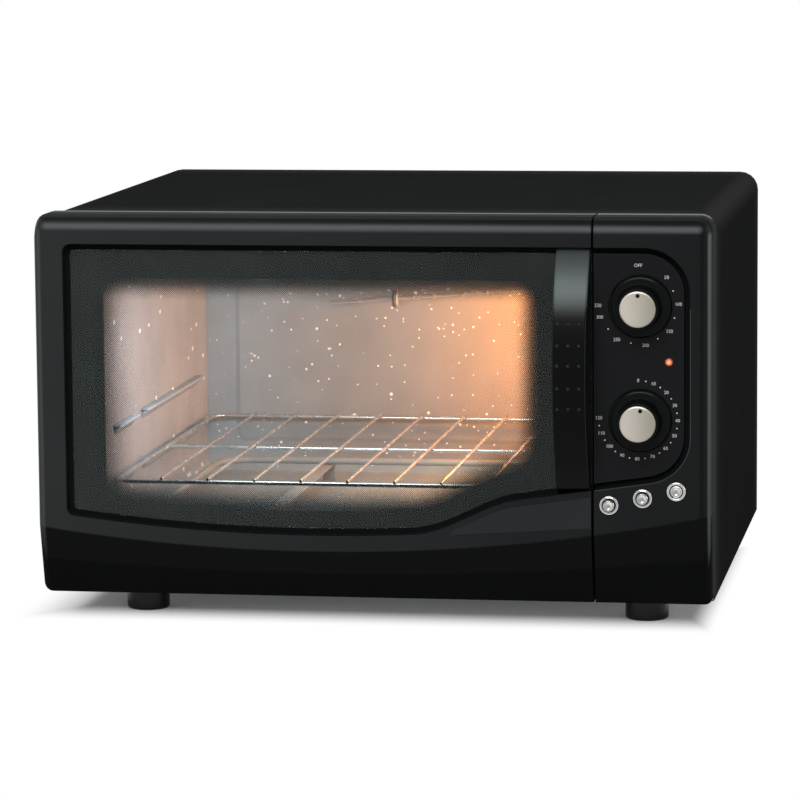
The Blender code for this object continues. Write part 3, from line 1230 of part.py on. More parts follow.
def make_control_bracket():
    """Steel plate behind the fascia that carries the thermostat and the timer."""
    low = TIMER_Z - BRACKET_OVER
    high = TEMPERATURE_Z + BRACKET_OVER
    outline = rounded_box(PANEL_LEFT_X + BRACKET_SIDE_GAP, RIGHT_X - BRACKET_SIDE_GAP, low, high,
                          BRACKET_CORNER)
    plate = solid("control_bracket", prism(outline, BRACKET_FRONT, BRACKET_BACK), "zinc_steel", FRONT)
    holes = [circle_outline(KNOB_X, height, BRACKET_HOLE_RADIUS) for height in (TEMPERATURE_Z, TIMER_Z)]
    holes.append(circle_outline(PILOT_X, PILOT_Z, PILOT_BODY_RADIUS + TOUCH))
    cut(plate, "bracket_holes", merged([prism(hole, BRACKET_FRONT - OVERRUN, BRACKET_BACK + OVERRUN)
                                        for hole in holes]))


def knob_profile():
    """(radius, height) of a knob: dished skirt, hub, cap seat in front, hollow and boss behind."""
    bore = SHAFT_RADIUS + TOUCH
    bore_top = SHAFT_IN_KNOB + TOUCH
    seat = KNOB_HEIGHT - CAP_SEAT
    inner = KNOB_HUB_RADIUS - KNOB_WALL
    roof = seat - KNOB_WALL
    rim = KNOB_RIM_ROUND
    dish = (KNOB_RADIUS + KNOB_HUB_RADIUS) / 2
    return [(0, seat), (CAP_RADIUS + TOUCH, seat), (CAP_RADIUS + TOUCH, KNOB_HEIGHT),
            (KNOB_NOSE_RADIUS - TOUCH, KNOB_HEIGHT), (KNOB_NOSE_RADIUS, KNOB_HEIGHT - TOUCH),
            (KNOB_HUB_RADIUS, KNOB_RIM), (KNOB_HUB_RADIUS + rim, KNOB_DISH + TOUCH), (dish, KNOB_DISH),
            (KNOB_RADIUS - 2 * rim, KNOB_RIM - TOUCH), (KNOB_RADIUS - rim, KNOB_RIM),
            (KNOB_RADIUS - rim / 3, KNOB_RIM - rim / 3), (KNOB_RADIUS, KNOB_RIM - rim), (KNOB_RADIUS, 0),
            (inner, 0), (inner, roof), (KNOB_BOSS_RADIUS, roof), (KNOB_BOSS_RADIUS, 0), (bore, 0),
            (bore, bore_top), (0, bore_top)]


def make_knob(name, height, knob, body_front):
    """Knob, its metal cap and its shaft, all on one parent empty, and return where the shaft ends."""
    base = GLASS_SET_BACK - RUNNING_GAP
    centre = (KNOB_X, FACE_Y + base, height)
    solid(f"{name}_knob", turned(knob_profile()), "black_plastic", centre, FACING_FRONT, knob)
    seat = KNOB_HEIGHT - CAP_SEAT + TOUCH
    edge = CAP_CROWN / 2
    cap = [(0, seat), (CAP_RADIUS, seat), (CAP_RADIUS, seat + edge), (CAP_RADIUS - edge, seat + CAP_CROWN),
           (0, seat + CAP_CROWN)]
    solid(f"{name}_knob_cap", turned(cap), "knob_metal", centre, FACING_FRONT, knob)
    back = body_front + SHAFT_IN_BODY - base
    solid(f"{name}_shaft", cylinder(SHAFT_RADIUS, -back, SHAFT_IN_KNOB), "zinc_steel", centre,
          FACING_FRONT, knob)


def make_knob_bodies():
    """Thermostat and timer behind the bracket, each bored for its shaft."""
    front = BRACKET_BACK + TOUCH
    bore = SHAFT_RADIUS + SHAFT_PLAY
    depth = SHAFT_IN_BODY + SHAFT_PLAY
    profile = [(0, -depth), (bore, -depth), (bore, 0), (THERMOSTAT_RADIUS, 0),
               (THERMOSTAT_RADIUS, -THERMOSTAT_LENGTH), (0, -THERMOSTAT_LENGTH)]
    solid("thermostat_body", turned(profile, steps=SMALL_TURN_STEPS), "switch_plastic",
          (KNOB_X, FACE_Y + front, TEMPERATURE_Z), FACING_FRONT)
    half = TIMER_SIDE / 2
    timer = solid("timer_body", prism(rounded_box(-half, half, -half, half, TIMER_CORNER, steps=3),
                                      0, TIMER_LENGTH), "switch_plastic", (KNOB_X, FACE_Y + front, TIMER_Z))
    cut(timer, "timer_bore", prism(circle_outline(0, 0, bore), -OVERRUN, depth))
    return front


def make_pilot():
    """Lens pressed into the island and the neon lamp behind it."""
    centre = (PILOT_X, FACE_Y + GLASS_SET_BACK, PILOT_Z)
    neck = HOLLOW_DEPTH - GLASS_SET_BACK
    lens = [(0, PILOT_PROUD), (PILOT_RADIUS / 2, PILOT_PROUD - TOUCH), (PILOT_RADIUS, PILOT_PROUD / 2),
            (PILOT_RADIUS, TOUCH), (PILOT_NECK_RADIUS, TOUCH), (PILOT_NECK_RADIUS, -neck), (0, -neck)]
    solid("pilot_lens", turned(lens, steps=SMALL_TURN_STEPS), "amber_lens", centre, FACING_FRONT)
    solid("pilot_lamp", cylinder(PILOT_BODY_RADIUS, -neck - TOUCH - PILOT_BODY_LENGTH, -neck - TOUCH),
          "switch_plastic", centre, FACING_FRONT)


def make_buttons():
    """Chrome bezels, sprung plungers and the switches behind them. The third plunger is latched in."""
    flange_back = TOUCH
    bezel = [(BEZEL_BORE_RADIUS, BEZEL_PROUD - TOUCH), (BEZEL_BORE_RADIUS + TOUCH, BEZEL_PROUD),
             (BEZEL_RADIUS - BEZEL_PROUD / 2, BEZEL_PROUD), (BEZEL_RADIUS, BEZEL_PROUD / 2),
             (BEZEL_RADIUS, flange_back), (BEZEL_SLEEVE_RADIUS, flange_back),
             (BEZEL_SLEEVE_RADIUS, -BEZEL_SLEEVE_LENGTH), (BEZEL_BORE_RADIUS, -BEZEL_SLEEVE_LENGTH)]
    front = BEZEL_PROUD + PLUNGER_PROUD
    head_back = front - PLUNGER_HEAD_LENGTH
    switch_front = HOLLOW_DEPTH + TOUCH
    stem_end = -(switch_front + STEM_IN_SWITCH)
    plunger = [(0, front), (PLUNGER_RADIUS - 2 * TOUCH, front), (PLUNGER_RADIUS, front - 2 * TOUCH),
               (PLUNGER_RADIUS, head_back), (PLUNGER_STEM_RADIUS, head_back), (PLUNGER_STEM_RADIUS, stem_end),
               (0, stem_end)]
    well_radius = PLUNGER_STEM_RADIUS + RUNNING_GAP
    well = STEM_IN_SWITCH + PLUNGER_STROKE + RUNNING_GAP
    for index, (x, z) in enumerate(button_places(), start=1):
        latched = PLUNGER_STROKE if index == BUTTON_COUNT else 0
        centre = Vector((x, FACE_Y, z))
        solid(f"bezel_{index}", turned(bezel, closed=True, steps=SMALL_TURN_STEPS), "chrome", centre,
              FACING_FRONT)
        pressed = centre + Vector((0, latched, 0))
        button = empty(f"button_{index}_slide", pressed)
        solid(f"button_{index}", turned(plunger, steps=SMALL_TURN_STEPS), "chrome", pressed, FACING_FRONT,
              button)
        half, half_height = SWITCH_WIDTH / 2, SWITCH_HEIGHT / 2
        switch = solid(f"switch_{index}", block((-half, switch_front, -half_height),
                                                (half, switch_front + SWITCH_LENGTH, half_height)),
                       "switch_plastic", centre)
        cut(switch, f"switch_well_{index}", prism(circle_outline(0, 0, well_radius), switch_front - OVERRUN,
                                                  switch_front + well))


# Feet and inlet

def make_feet():
    """Four round feet screwed up under the bottom panel."""
    height = BOTTOM_PANEL_Z - TOUCH
    profile = [(0, FOOT_SCREW_DEPTH), (FOOT_SCREW_RADIUS, FOOT_SCREW_DEPTH), (FOOT_SCREW_RADIUS, 0),
               (FOOT_RADIUS - FOOT_EDGE, 0), (FOOT_RADIUS, FOOT_EDGE), (FOOT_TOP_RADIUS, height), (0, height)]
    front_y = FACE_Y + FOOT_FRONT_INSET
    rear_y = FACE_Y + BODY_DEPTH - FOOT_REAR_INSET
    side_x = RIGHT_X - FOOT_SIDE_INSET
    first = solid("foot_front_left", turned(profile), "black_plastic", (-side_x, front_y, 0))
    copy_of(first, "foot_front_right", (side_x, front_y, 0))
    copy_of(first, "foot_rear_left", (-side_x, rear_y, 0))
    copy_of(first, "foot_rear_right", (side_x, rear_y, 0))


def make_inlet():
    """Gland that clips into the rear panel, and the terminal block inside it."""
    outer = GLAND_PROUD + REAR_INSET
    inner_face = -SHEET - TOUCH
    profile = [(GLAND_BORE_RADIUS, outer), (GLAND_FLANGE_RADIUS - GLAND_PROUD / 2, outer),
               (GLAND_FLANGE_RADIUS, outer - GLAND_PROUD / 2), (GLAND_FLANGE_RADIUS, TOUCH),
               (GLAND_NECK_RADIUS, TOUCH), (GLAND_NECK_RADIUS, inner_face),
               (GLAND_FLANGE_RADIUS - GLAND_INNER / 2, inner_face),
               (GLAND_NECK_RADIUS, inner_face - GLAND_INNER), (GLAND_BORE_RADIUS, inner_face - GLAND_INNER)]
    solid("cable_gland", turned(profile, closed=True, steps=SMALL_TURN_STEPS), "black_plastic",
          (GLAND_X, FACE_Y + REAR_OUTER, GLAND_HEIGHT), FACING_BACK)
    left = GLAND_X - BLOCK_LENGTH / 2
    rear = REAR_INNER - BLOCK_FROM_REAR
    low = INSIDE_BOTTOM_Z
    base = solid("terminal_block", block((left, rear - BLOCK_WIDTH, low),
                                         (left + BLOCK_LENGTH, rear, low + BLOCK_HEIGHT)),
                 "porcelain", FRONT)
    pitch = (BLOCK_LENGTH - BLOCK_RIB) / BLOCK_WAYS
    wells = [block((left + BLOCK_RIB + way * pitch, rear - BLOCK_WIDTH - OVERRUN, low + BLOCK_HEIGHT / 2),
                   (left + (way + 1) * pitch, rear + OVERRUN, low + BLOCK_HEIGHT + OVERRUN))
             for way in range(BLOCK_WAYS)]
    cut(base, "terminal_wells", merged(wells))


def build():
    """Make every sub-part."""
    clear_scene()
    door = empty("door_hinge", (HINGE_X, FACE_Y + HINGE_DEPTH, 0))
    make_door_frame(door)
    make_door_glass(door)
    make_door_inner(door)
    make_handle(door)
    make_striker(door)
    make_hinge_hardware()
    make_catch()
    make_casing()
    make_front_flange()
    make_bottom_panel()
    make_rear_panel()
    make_partition()
    make_cavity()
    make_wool()
    make_gasket()
    make_rack(empty("rack_slide", (0, FACE_Y, RACK_Z)))
    make_heaters()
    make_lamp()
    make_thermostat_bulb()
    make_control_panel()
    make_control_bracket()
    body_front = make_knob_bodies()
    for name, height in (("temperature", TEMPERATURE_Z), ("timer", TIMER_Z)):
        make_knob(name, height, empty(f"{name}_turn", (KNOB_X, FACE_Y, height)), body_front)
    make_pilot()
    make_buttons()
    make_feet()
    make_inlet()


build()
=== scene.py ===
"""Looks of an electric countertop oven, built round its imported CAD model.

The frame is in metres, +Z up, with the front facing -Y and +X to the viewer's right. The new pieces are
drawn in millimetres in the front's own frame, x across, depth back from the front face and z up, and
each one is turned to the frame's metres when it is published.
"""

import logging
import math
from collections.abc import Callable, Sequence
from dataclasses import dataclass
from enum import Enum
from functools import cache

import bmesh
import bpy
from mathutils import Matrix, Vector


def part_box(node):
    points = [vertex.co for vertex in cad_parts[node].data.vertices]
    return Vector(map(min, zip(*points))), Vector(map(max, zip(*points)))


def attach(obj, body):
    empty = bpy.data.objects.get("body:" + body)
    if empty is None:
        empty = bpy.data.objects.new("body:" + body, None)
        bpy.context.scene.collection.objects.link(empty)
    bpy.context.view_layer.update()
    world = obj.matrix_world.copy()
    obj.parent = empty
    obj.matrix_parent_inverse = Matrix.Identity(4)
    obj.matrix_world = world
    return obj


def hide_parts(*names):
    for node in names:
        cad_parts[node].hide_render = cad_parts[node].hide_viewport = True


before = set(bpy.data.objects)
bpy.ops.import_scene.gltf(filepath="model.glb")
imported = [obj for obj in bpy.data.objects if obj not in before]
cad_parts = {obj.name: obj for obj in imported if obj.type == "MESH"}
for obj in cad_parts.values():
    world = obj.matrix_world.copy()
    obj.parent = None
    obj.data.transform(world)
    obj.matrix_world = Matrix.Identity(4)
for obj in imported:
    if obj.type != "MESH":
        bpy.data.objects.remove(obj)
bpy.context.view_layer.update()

log = logging.getLogger("oven")
MM = 0.001
FACE_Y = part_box("door_frame")[0].y
CLOSE = 0.005
BEYOND = 6.0
Socket = bpy.types.NodeSocket
Shape = bmesh.types.BMesh
Outline = list[Vector]
Colour = tuple[float, float, float]


class Body(Enum):
    """Moving bodies that a piece can ride on."""

    CASE = "body"
    DOOR = "door"
    TEMPERATURE = "temperature_dial"
    TIMER = "timer_dial"
    BUTTON_ONE = "button_one"
    BUTTON_TWO = "button_two"
    BUTTON_THREE = "button_three"
    RACK = "rack"


class Axis(Enum):
    """Axis that an outline is extruded on."""

    ACROSS = 0
    DEPTH = 1
    UP = 2


class Facing(Enum):
    """Ways to turn a piece that was turned about Z."""

    UP = (0.0, "X")
    FRONT = (90.0, "X")
    LEFT = (-90.0, "Y")

    def matrix(self) -> Matrix:
        """Rotation that turns +Z this way."""
        return Matrix.Rotation(math.radians(self.value[0]), 4, self.value[1])


# Node tree helper


class Bench:
    """One material's node tree, with short ways to add what the finishes share."""

    def __init__(self, name: str) -> None:
        """Start a material with its shader.

        Args:
            name: Name of the material.
        """
        self.material = bpy.data.materials.new(name)
        self.material.use_nodes = True
        self.tree = self.material.node_tree
        self.shader = self.tree.nodes["Principled BSDF"]
        self.output = self.tree.nodes["Material Output"]
        self.place = self.add("ShaderNodeTexCoord").outputs["Object"]

    def feed(self, socket: Socket, value: object) -> None:
        """Link a socket to another one, or set its value.

        Args:
            socket: Input to fill.
            value: Output socket, number, vector or colour.
        """
        if isinstance(value, Socket):
            self.tree.links.new(value, socket)
        elif isinstance(value, tuple) and len(value) == 3 and socket.type == "RGBA":
            socket.default_value = (*value, 1.0)
        else:
            socket.default_value = value

    def add(self, kind: str, inputs: dict | None = None, **settings: object) -> bpy.types.Node:
        """Add a node.

        Args:
            kind: Blender's name of the node type.
            inputs: Values or links of its inputs, by name or number.
            **settings: Properties of the node.

        Returns:
            The new node.
        """
        node = self.tree.nodes.new(kind)
        for name, value in settings.items():
            setattr(node, name, value)
        for name, value in (inputs or {}).items():
            self.feed(node.inputs[name], value)
        return node

    def surface(self, **values: object) -> None:
        """Fill the shader's inputs, with underscores for the spaces in their names."""
        for name, value in values.items():
            self.feed(self.shader.inputs[name.replace("_", " ")], value)

    def noise(self, size: float, detail: float = 2.0, vector: object = None) -> Socket:
        """Soft noise.

        Args:
            size: Size of its patches, in metres.
            detail: How many finer layers it has.
            vector: Coordinates, or None for the object's own.

        Returns:
            Value from 0 to 1.
        """
        where = self.place if vector is None else vector
        inputs = {"Vector": where, "Scale": 1 / size, "Detail": detail}
        return self.add("ShaderNodeTexNoise", inputs).outputs[0]

    def span(self, value: object, low: float, high: float, to_low: float, to_high: float) -> Socket:
        """Value mapped from one range to another and kept inside it."""
        return self.add("ShaderNodeMapRange", {0: value, 1: low, 2: high, 3: to_low, 4: to_high}).outputs[0]

    def sums(self, operation: str, *values: object) -> Socket:
        """Result of a math node."""
        return self.add("ShaderNodeMath", dict(enumerate(values)), operation=operation).outputs[0]

    def blend(self, factor: object, first: object, second: object) -> Socket:
        """Colour between two colours."""
        return self.add("ShaderNodeMix", {0: factor, 6: first, 7: second}, data_type="RGBA").outputs[2]

    def relief(self, height: object, depth: float, normal: object = None) -> Socket:
        """Bumped normal.

        Args:
            height: Height from 0 to 1.
            depth: Height difference in metres.
            normal: Normal to bump further.

        Returns:
            The normal.
        """
        inputs = {"Height": height, "Distance": depth, "Strength": 1.0}
        if normal is not None:
            inputs["Normal"] = normal
        return self.add("ShaderNodeBump", inputs).outputs[0]

    def shaded(self, colour: Colour, size: float, spread: float) -> Socket:
        """Colour with slow variation.

        Args:
            colour: Middle colour.
            size: Size of the patches, in metres.
            spread: Share by which it gets darker and lighter.

        Returns:
            The colour.
        """
        dark = tuple(share * (1 - spread) for share in colour)
        light = tuple(share * (1 + spread) for share in colour)
        return self.blend(self.uneven(size, 0.0, 1.0, 3.0), dark, light)

    def uneven(self, size: float, low: float, high: float, detail: float = 2.0) -> Socket:
        """Value that drifts between two limits over patches of a size in metres."""
        return self.span(self.noise(size, detail), 0.3, 0.7, low, high)

    def facing(self) -> Socket:
        """0 where the surface faces the viewer, rising to 1 at its edges."""
        return self.add("ShaderNodeLayerWeight", {"Blend": 0.5}).outputs["Facing"]

    def about(self, centre: Sequence[float]) -> tuple[Socket, Socket]:
        """Coordinates from a centre, and the distance from the line through it from front to back.

        Args:
            centre: The centre in the object's frame.

        Returns:
            The shifted coordinates and the distance.
        """
        shift = {"Vector": self.place, "Location": tuple(-share for share in centre)}
        local = self.add("ShaderNodeMapping", shift).outputs[0]
        level = {0: local, 1: (1.0, 0.0, 1.0)}
        flat = self.add("ShaderNodeVectorMath", level, operation="MULTIPLY").outputs[0]
        return local, self.add("ShaderNodeVectorMath", {0: flat}, operation="LENGTH").outputs["Value"]

    def halves(self) -> tuple[Socket, ...]:
        """The object's x, y and z as three values."""
        return tuple(self.add("ShaderNodeSeparateXYZ", {0: self.place}).outputs)

    def ridge(self, value: object, centre: float, half: float) -> Socket:
        """1 where a value is at the centre, falling softly to 0 a half width from it."""
        off = self.sums("ABSOLUTE", self.sums("SUBTRACT", value, centre))
        return self.soft_step(off, half, 0.0)

    def soft_step(self, value: object, low: float, high: float) -> Socket:
        """Soft rise from 0 to 1 between two values."""
        limits = {0: value, 1: low, 2: high}
        return self.add("ShaderNodeMapRange", limits, interpolation_type="SMOOTHSTEP").outputs[0]

    def layered(self, factor: object, first: Socket,
                second: Socket) -> Socket:
        """Show a mix of two shaders as the surface.

        Args:
            factor: Share of the second one.
            first: The first shader.
            second: The second shader.

        Returns:
            The mix.
        """
        mixed = self.add("ShaderNodeMixShader", {0: factor, 1: first, 2: second}).outputs[0]
        self.tree.links.new(mixed, self.output.inputs["Surface"])
        return mixed


# Finishes


@dataclass(frozen=True)
class Finish:
    """Base of all finishes: a name, and the material made from it the first time."""

    name: str

    @cache
    def material(self) -> bpy.types.Material:
        """The finish's material, made the first time it is asked for.

        Returns:
            The material.
        """
        bench = Bench(f"look_{self.name}")
        self.dress(bench)
        return bench.material

    def dress(self, bench: Bench) -> None:
        """Fill the material's nodes.

        Args:
            bench: The material's node tree.
        """
        raise NotImplementedError


@dataclass(frozen=True)
class Moulded(Finish):
    """Moulded plastic or paint: fine skin, slow change of colour and gloss."""

    colour: Colour
    roughness: float
    specular: float
    grain: float = 0.0009
    depth: float = 0.00001
    spread: float = 0.06

    def dress(self, bench: Bench) -> None:
        """Fill the material's nodes.

        Args:
            bench: The material's node tree.
        """
        bench.surface(
            Base_Color=bench.shaded(self.colour, 0.09, self.spread),
            Roughness=self.gloss(bench),
            Specular_IOR_Level=self.specular,
            Normal=bench.relief(bench.noise(self.grain), self.depth),
        )

    def gloss(self, bench: Bench) -> Socket:
        """Roughness that drifts a little over the surface."""
        return bench.uneven(0.05, self.roughness * 0.94, self.roughness * 1.06, 4.0)


@dataclass(frozen=True)
class FrontSkin(Moulded):
    """Moulded plastic with painted shade to the right and below the swept line, and painted edge highlights.
    """

    painted_right_shade: Colour = (0.0, 0.0, 0.0)
    painted_low_shade: Colour = (0.0, 0.0, 0.0)
    line: tuple[float, float, float] = (-0.05, 0.076, 1.6)
    reach: tuple[float, float] = (-0.29, 0.29)
    # Colour of the painted highlights on the rounded edges.
    sheen: Colour = (0.1, 0.112, 0.114)
    rear_gloss: float = 0.85
    # Height or place across, and half width, of each painted highlight line and of the two painted dark
    # bands.
    top_highlight: tuple[float, float] = (0.3518, 0.0042)
    right_highlight: tuple[float, float] = (0.2878, 0.002)
    left_highlight: tuple[float, float] = (-0.285, 0.003)
    flank_shade: tuple[float, float] = (0.282, 0.0035)
    crown_shade: tuple[float, float] = (0.3582, 0.0034)

    def edges(self, bench: Bench, across: object, back: object, up: object) -> Socket:
        """Painted highlights on the rounded edges at the top and at both sides.

        Args:
            bench: The material's node tree.
            across: The point's x.
            back: The point's y.
            up: The point's z.

        Returns:
            Share of the painted highlight, from 0 to 1.
        """
        ends = bench.soft_step(bench.sums("ABSOLUTE", across), 0.284, 0.277)
        top = bench.sums("MULTIPLY", bench.ridge(up, *self.top_highlight), ends)
        below = bench.soft_step(up, 0.352, 0.345)
        right = bench.sums("MULTIPLY", bench.ridge(across, *self.right_highlight), below)
        right = bench.sums("MULTIPLY", right, bench.span(up, 0.05, 0.34, 0.55, 1.4))
        left = bench.sums("MULTIPLY", bench.ridge(across, *self.left_highlight), below)
        left = bench.sums("MULTIPLY", left, bench.span(up, 0.06, 0.1, 0.0, 0.45))
        lines = bench.sums("MAXIMUM", bench.sums("MULTIPLY", top, 0.74), bench.sums("MAXIMUM", right, left))
        return bench.sums("MULTIPLY", lines, bench.soft_step(back, FACE_Y + 0.012, FACE_Y + 0.008))

    def dress(self, bench: Bench) -> None:
        """Fill the material's nodes.

        Args:
            bench: The material's node tree.
        """
        super().dress(bench)
        across, back, up = bench.halves()
        reach = bench.sums("POWER", bench.sums("SUBTRACT", across, self.line[0]), 2.0)
        sweep = bench.sums("ADD", bench.sums("DIVIDE", reach, 2 * self.line[2]), self.line[1])
        above = bench.span(bench.sums("SUBTRACT", up, sweep), -0.0012, 0.0004, 0.0, 1.0)
        side = bench.span(across, *self.reach, 0.0, 1.0)
        # Painted shade: the front darkens from left to right.
        face = bench.blend(side, bench.shaded(self.colour, 0.09, self.spread),
                           bench.shaded(self.painted_right_shade, 0.09, self.spread))
        # Painted shade on the apron below the swept line.
        apron = bench.shaded(self.painted_low_shade, 0.09, self.spread)
        # Painted dark bands just inside the right edge and below the top edge, blended to the painted shade
        # colour.
        shade_bands = bench.sums("MULTIPLY", bench.ridge(across, *self.flank_shade), 0.6)
        crown = bench.sums("MULTIPLY", bench.ridge(up, *self.crown_shade), 0.75)
        shade_bands = bench.sums("MAXIMUM", shade_bands, crown)
        skin = bench.blend(shade_bands, bench.blend(above, apron, face), self.painted_low_shade)
        rear = bench.sums("MULTIPLY", bench.soft_step(back, FACE_Y + 0.026, FACE_Y + 0.034),
                          bench.soft_step(up, 0.356, 0.36))
        side_gloss = bench.sums("MULTIPLY", bench.soft_step(back, FACE_Y + 0.005, FACE_Y + 0.008),
                                bench.sums("MULTIPLY_ADD", rear, -0.6, 1.0))
        gloss = self.gloss(bench)
        bench.surface(
            # Painted highlights along the rounded edges, over the shaded skin.
            Base_Color=bench.blend(self.edges(bench, across, back, up), skin, self.sheen),
            Roughness=bench.sums("MAXIMUM", gloss, bench.sums("MULTIPLY", side_gloss, self.rear_gloss)),
        )


@dataclass(frozen=True)
class GripSkin(Moulded):
    """Gloss handle plastic with a painted sheen high up on the bow and painted glints in its pits."""

    # Colour of the painted sheen and of the painted glints in the pits.
    sheen: Colour = (0.098, 0.116, 0.116)
    bow: tuple[float, float, float] = (0.0, 0.0, 1.0)

    def dress(self, bench: Bench) -> None:
        """Fill the material's nodes, with painted glints that make the pits paler than the bow's own surface.

        Args:
            bench: The material's node tree.
        """
        super().dress(bench)
        _, back, up = bench.halves()
        reach = [bench.sums("POWER", bench.sums("SUBTRACT", value, centre), 2.0)
                 for value, centre in ((back, self.bow[0]), (up, self.bow[1]))]
        inside = bench.sums("SUBTRACT", self.bow[2], bench.sums("SQRT", bench.sums("ADD", *reach)))
        # Painted glints in the pits.
        pits = bench.sums("MULTIPLY", bench.ridge(inside, 0.0007, 0.0005), 0.2)
        # Painted sheen high up on the bow.
        rise = bench.soft_step(up, 0.28, 0.304)
        fall = bench.span(up, 0.309, 0.336, 1.0, 0.3)
        share = bench.sums("MULTIPLY", rise, fall)
        share = bench.sums("MAXIMUM", share, pits)
        bench.surface(Base_Color=bench.blend(share, bench.shaded(self.colour, 0.05, self.spread),
                                             bench.shaded(self.sheen, 0.03, 0.05)))


@dataclass(frozen=True)
class CasingPaint(Moulded):
    """Baked paint of the wrapped casing, with painted highlights along its bends and its front and rear
    edges.
    """

    # Colour of the painted highlights.
    pale: Colour = (0.05, 0.05, 0.05)

    def dress(self, bench: Bench) -> None:
        """Fill the material's nodes.

        Args:
            bench: The material's node tree.
        """
        super().dress(bench)
        across, back, up = bench.halves()
        # Painted highlights along the top bends and towards the front and rear edges.
        bend = bench.sums("MULTIPLY", bench.soft_step(bench.sums("ABSOLUTE", across), 0.268, 0.286),
                          bench.soft_step(up, 0.337, 0.356))
        front = bench.sums("POWER", bench.span(back, -0.2075, -0.13, 1.0, 0.0), 2.0)
        rear = bench.sums("POWER", bench.span(back, 0.2, 0.2795, 0.0, 1.0), 3.0)
        pale = bench.sums("MAXIMUM", bench.sums("MULTIPLY", bend, 0.5),
                          bench.sums("MULTIPLY", bench.sums("MAXIMUM", front, rear), 0.8))
        bench.surface(Base_Color=bench.blend(pale, bench.shaded(self.colour, 0.09, self.spread), self.pale))


@dataclass(frozen=True)
class ZincSheet(Finish):
    """Zinc-coated sheet: faint spangle and light rolling marks."""

    colour: Colour = (0.52, 0.53, 0.54)

    def dress(self, bench: Bench) -> None:
        """Fill the material's nodes.

        Args:
            bench: The material's node tree.
        """
        cells = bench.add("ShaderNodeTexVoronoi", {"Vector": bench.place, "Scale": 1 / 0.007})
        facet = bench.add("ShaderNodeSeparateColor", {0: cells.outputs["Color"]}).outputs[0]
        dark = tuple(share * 0.9 for share in self.colour)
        tone = bench.blend(facet, dark, self.colour)
        bench.surface(
            Base_Color=tone,
            Metallic=0.85,
            Roughness=bench.span(facet, 0.0, 1.0, 0.4, 0.48),
            Normal=bench.relief(bench.noise(0.0006), 0.000006),
        )


@dataclass(frozen=True)
class SpeckledEnamel(Finish):
    """Fired enamel with pale specks and a little orange peel, with painted lamp light and shade in its tones.
    """

    # Enamel tones with painted light and shade in them.
    cool: Colour = (0.312, 0.375, 0.43)
    middle: Colour = (0.248, 0.255, 0.264)
    painted_lamp_glow: Colour = (0.268, 0.222, 0.182)
    side: Colour = (0.26, 0.24, 0.245)
    deep: Colour = (0.31, 0.345, 0.38)
    base: Colour = (0.33, 0.395, 0.425)
    front: Colour = (0.22, 0.335, 0.42)
    speck: Colour = (0.9, 0.88, 0.84)
    side_wall: float = -0.2405

    def specks(self, bench: Bench, cell: float, empty: float, radius: float) -> Socket:
        """Where specks of one size lie.

        Args:
            bench: The material's node tree.
            cell: Distance between the specks, in metres.
            empty: Share of the cells that hold none.
            radius: Radius of the largest ones, as a share of the cell.

        Returns:
            1 on a speck and 0 elsewhere.
        """
        runs = bench.add("ShaderNodeMapping", {"Vector": bench.place, "Scale": (1.0, 0.35, 0.6)}).outputs[0]
        place = bench.blend(bench.sums("LESS_THAN", bench.halves()[0], self.side_wall), bench.place, runs)
        spread = bench.add("ShaderNodeTexVoronoi", {"Vector": place, "Scale": 1 / cell})
        chance = bench.add("ShaderNodeSeparateColor", {0: spread.outputs["Color"]}).outputs[0]
        size = bench.span(chance, empty, 1.0, radius * 0.55, radius)
        held = bench.sums("GREATER_THAN", chance, empty)
        return bench.sums("MULTIPLY", bench.sums("LESS_THAN", spread.outputs["Distance"], size), held)

    def dress(self, bench: Bench) -> None:
        """Fill the material's nodes.

        Args:
            bench: The material's node tree.
        """
        large = self.specks(bench, 0.012, 0.5, 0.14)
        small = self.specks(bench, 0.0066, 0.45, 0.165)
        across, back, up = bench.halves()
        tones = {tone: bench.shaded(getattr(self, tone), 0.05, 0.08)
                 for tone in ("cool", "middle", "painted_lamp_glow", "side", "deep", "base", "front")}
        # Painted lamp light across the back wall: blue-grey at the left, a painted warm glow towards the
        # lamp.
        enamel = bench.blend(bench.soft_step(across, -0.24, -0.08), tones["cool"], tones["middle"])
        enamel = bench.blend(bench.soft_step(across, -0.08, 0.07), enamel, tones["painted_lamp_glow"])
        # Painted light on the side wall, pinker at the front and bluer at the back.
        side = bench.blend(bench.soft_step(back, -0.2, 0.22), tones["side"], tones["deep"])
        enamel = bench.blend(bench.sums("LESS_THAN", across, self.side_wall), enamel, side)
        # Floor tones, darker towards the mouth: painted shade.
        floor = bench.sums("MULTIPLY", bench.soft_step(up, 0.088, 0.074), 0.9)
        base = bench.blend(bench.soft_step(back, 0.1, 0.01), tones["base"], tones["front"])
        enamel = bench.blend(floor, enamel, base)
        bench.surface(
            Base_Color=bench.blend(bench.sums("MAXIMUM", large, small), enamel, self.speck),
            Roughness=bench.uneven(0.03, 0.38, 0.5),
            Specular_IOR_Level=0.3,
            Normal=bench.relief(bench.noise(0.006), 0.000012),
        )


@dataclass(frozen=True)
class BrightMetal(Finish):
    """Plated or bare metal with soft smears and fine draw marks."""

    colour: Colour
    roughness: float
    smear: float = 0.02
    metallic: float = 1.0

    def dress(self, bench: Bench) -> None:
        """Fill the material's nodes.

        Args:
            bench: The material's node tree.
        """
        bench.surface(
            Base_Color=bench.shaded(self.colour, self.smear * 2, 0.06),
            Metallic=self.metallic,
            Roughness=bench.uneven(self.smear, self.roughness * 0.7, self.roughness * 1.4, 4.0),
            Normal=bench.relief(bench.noise(0.0005), 0.000002),
        )


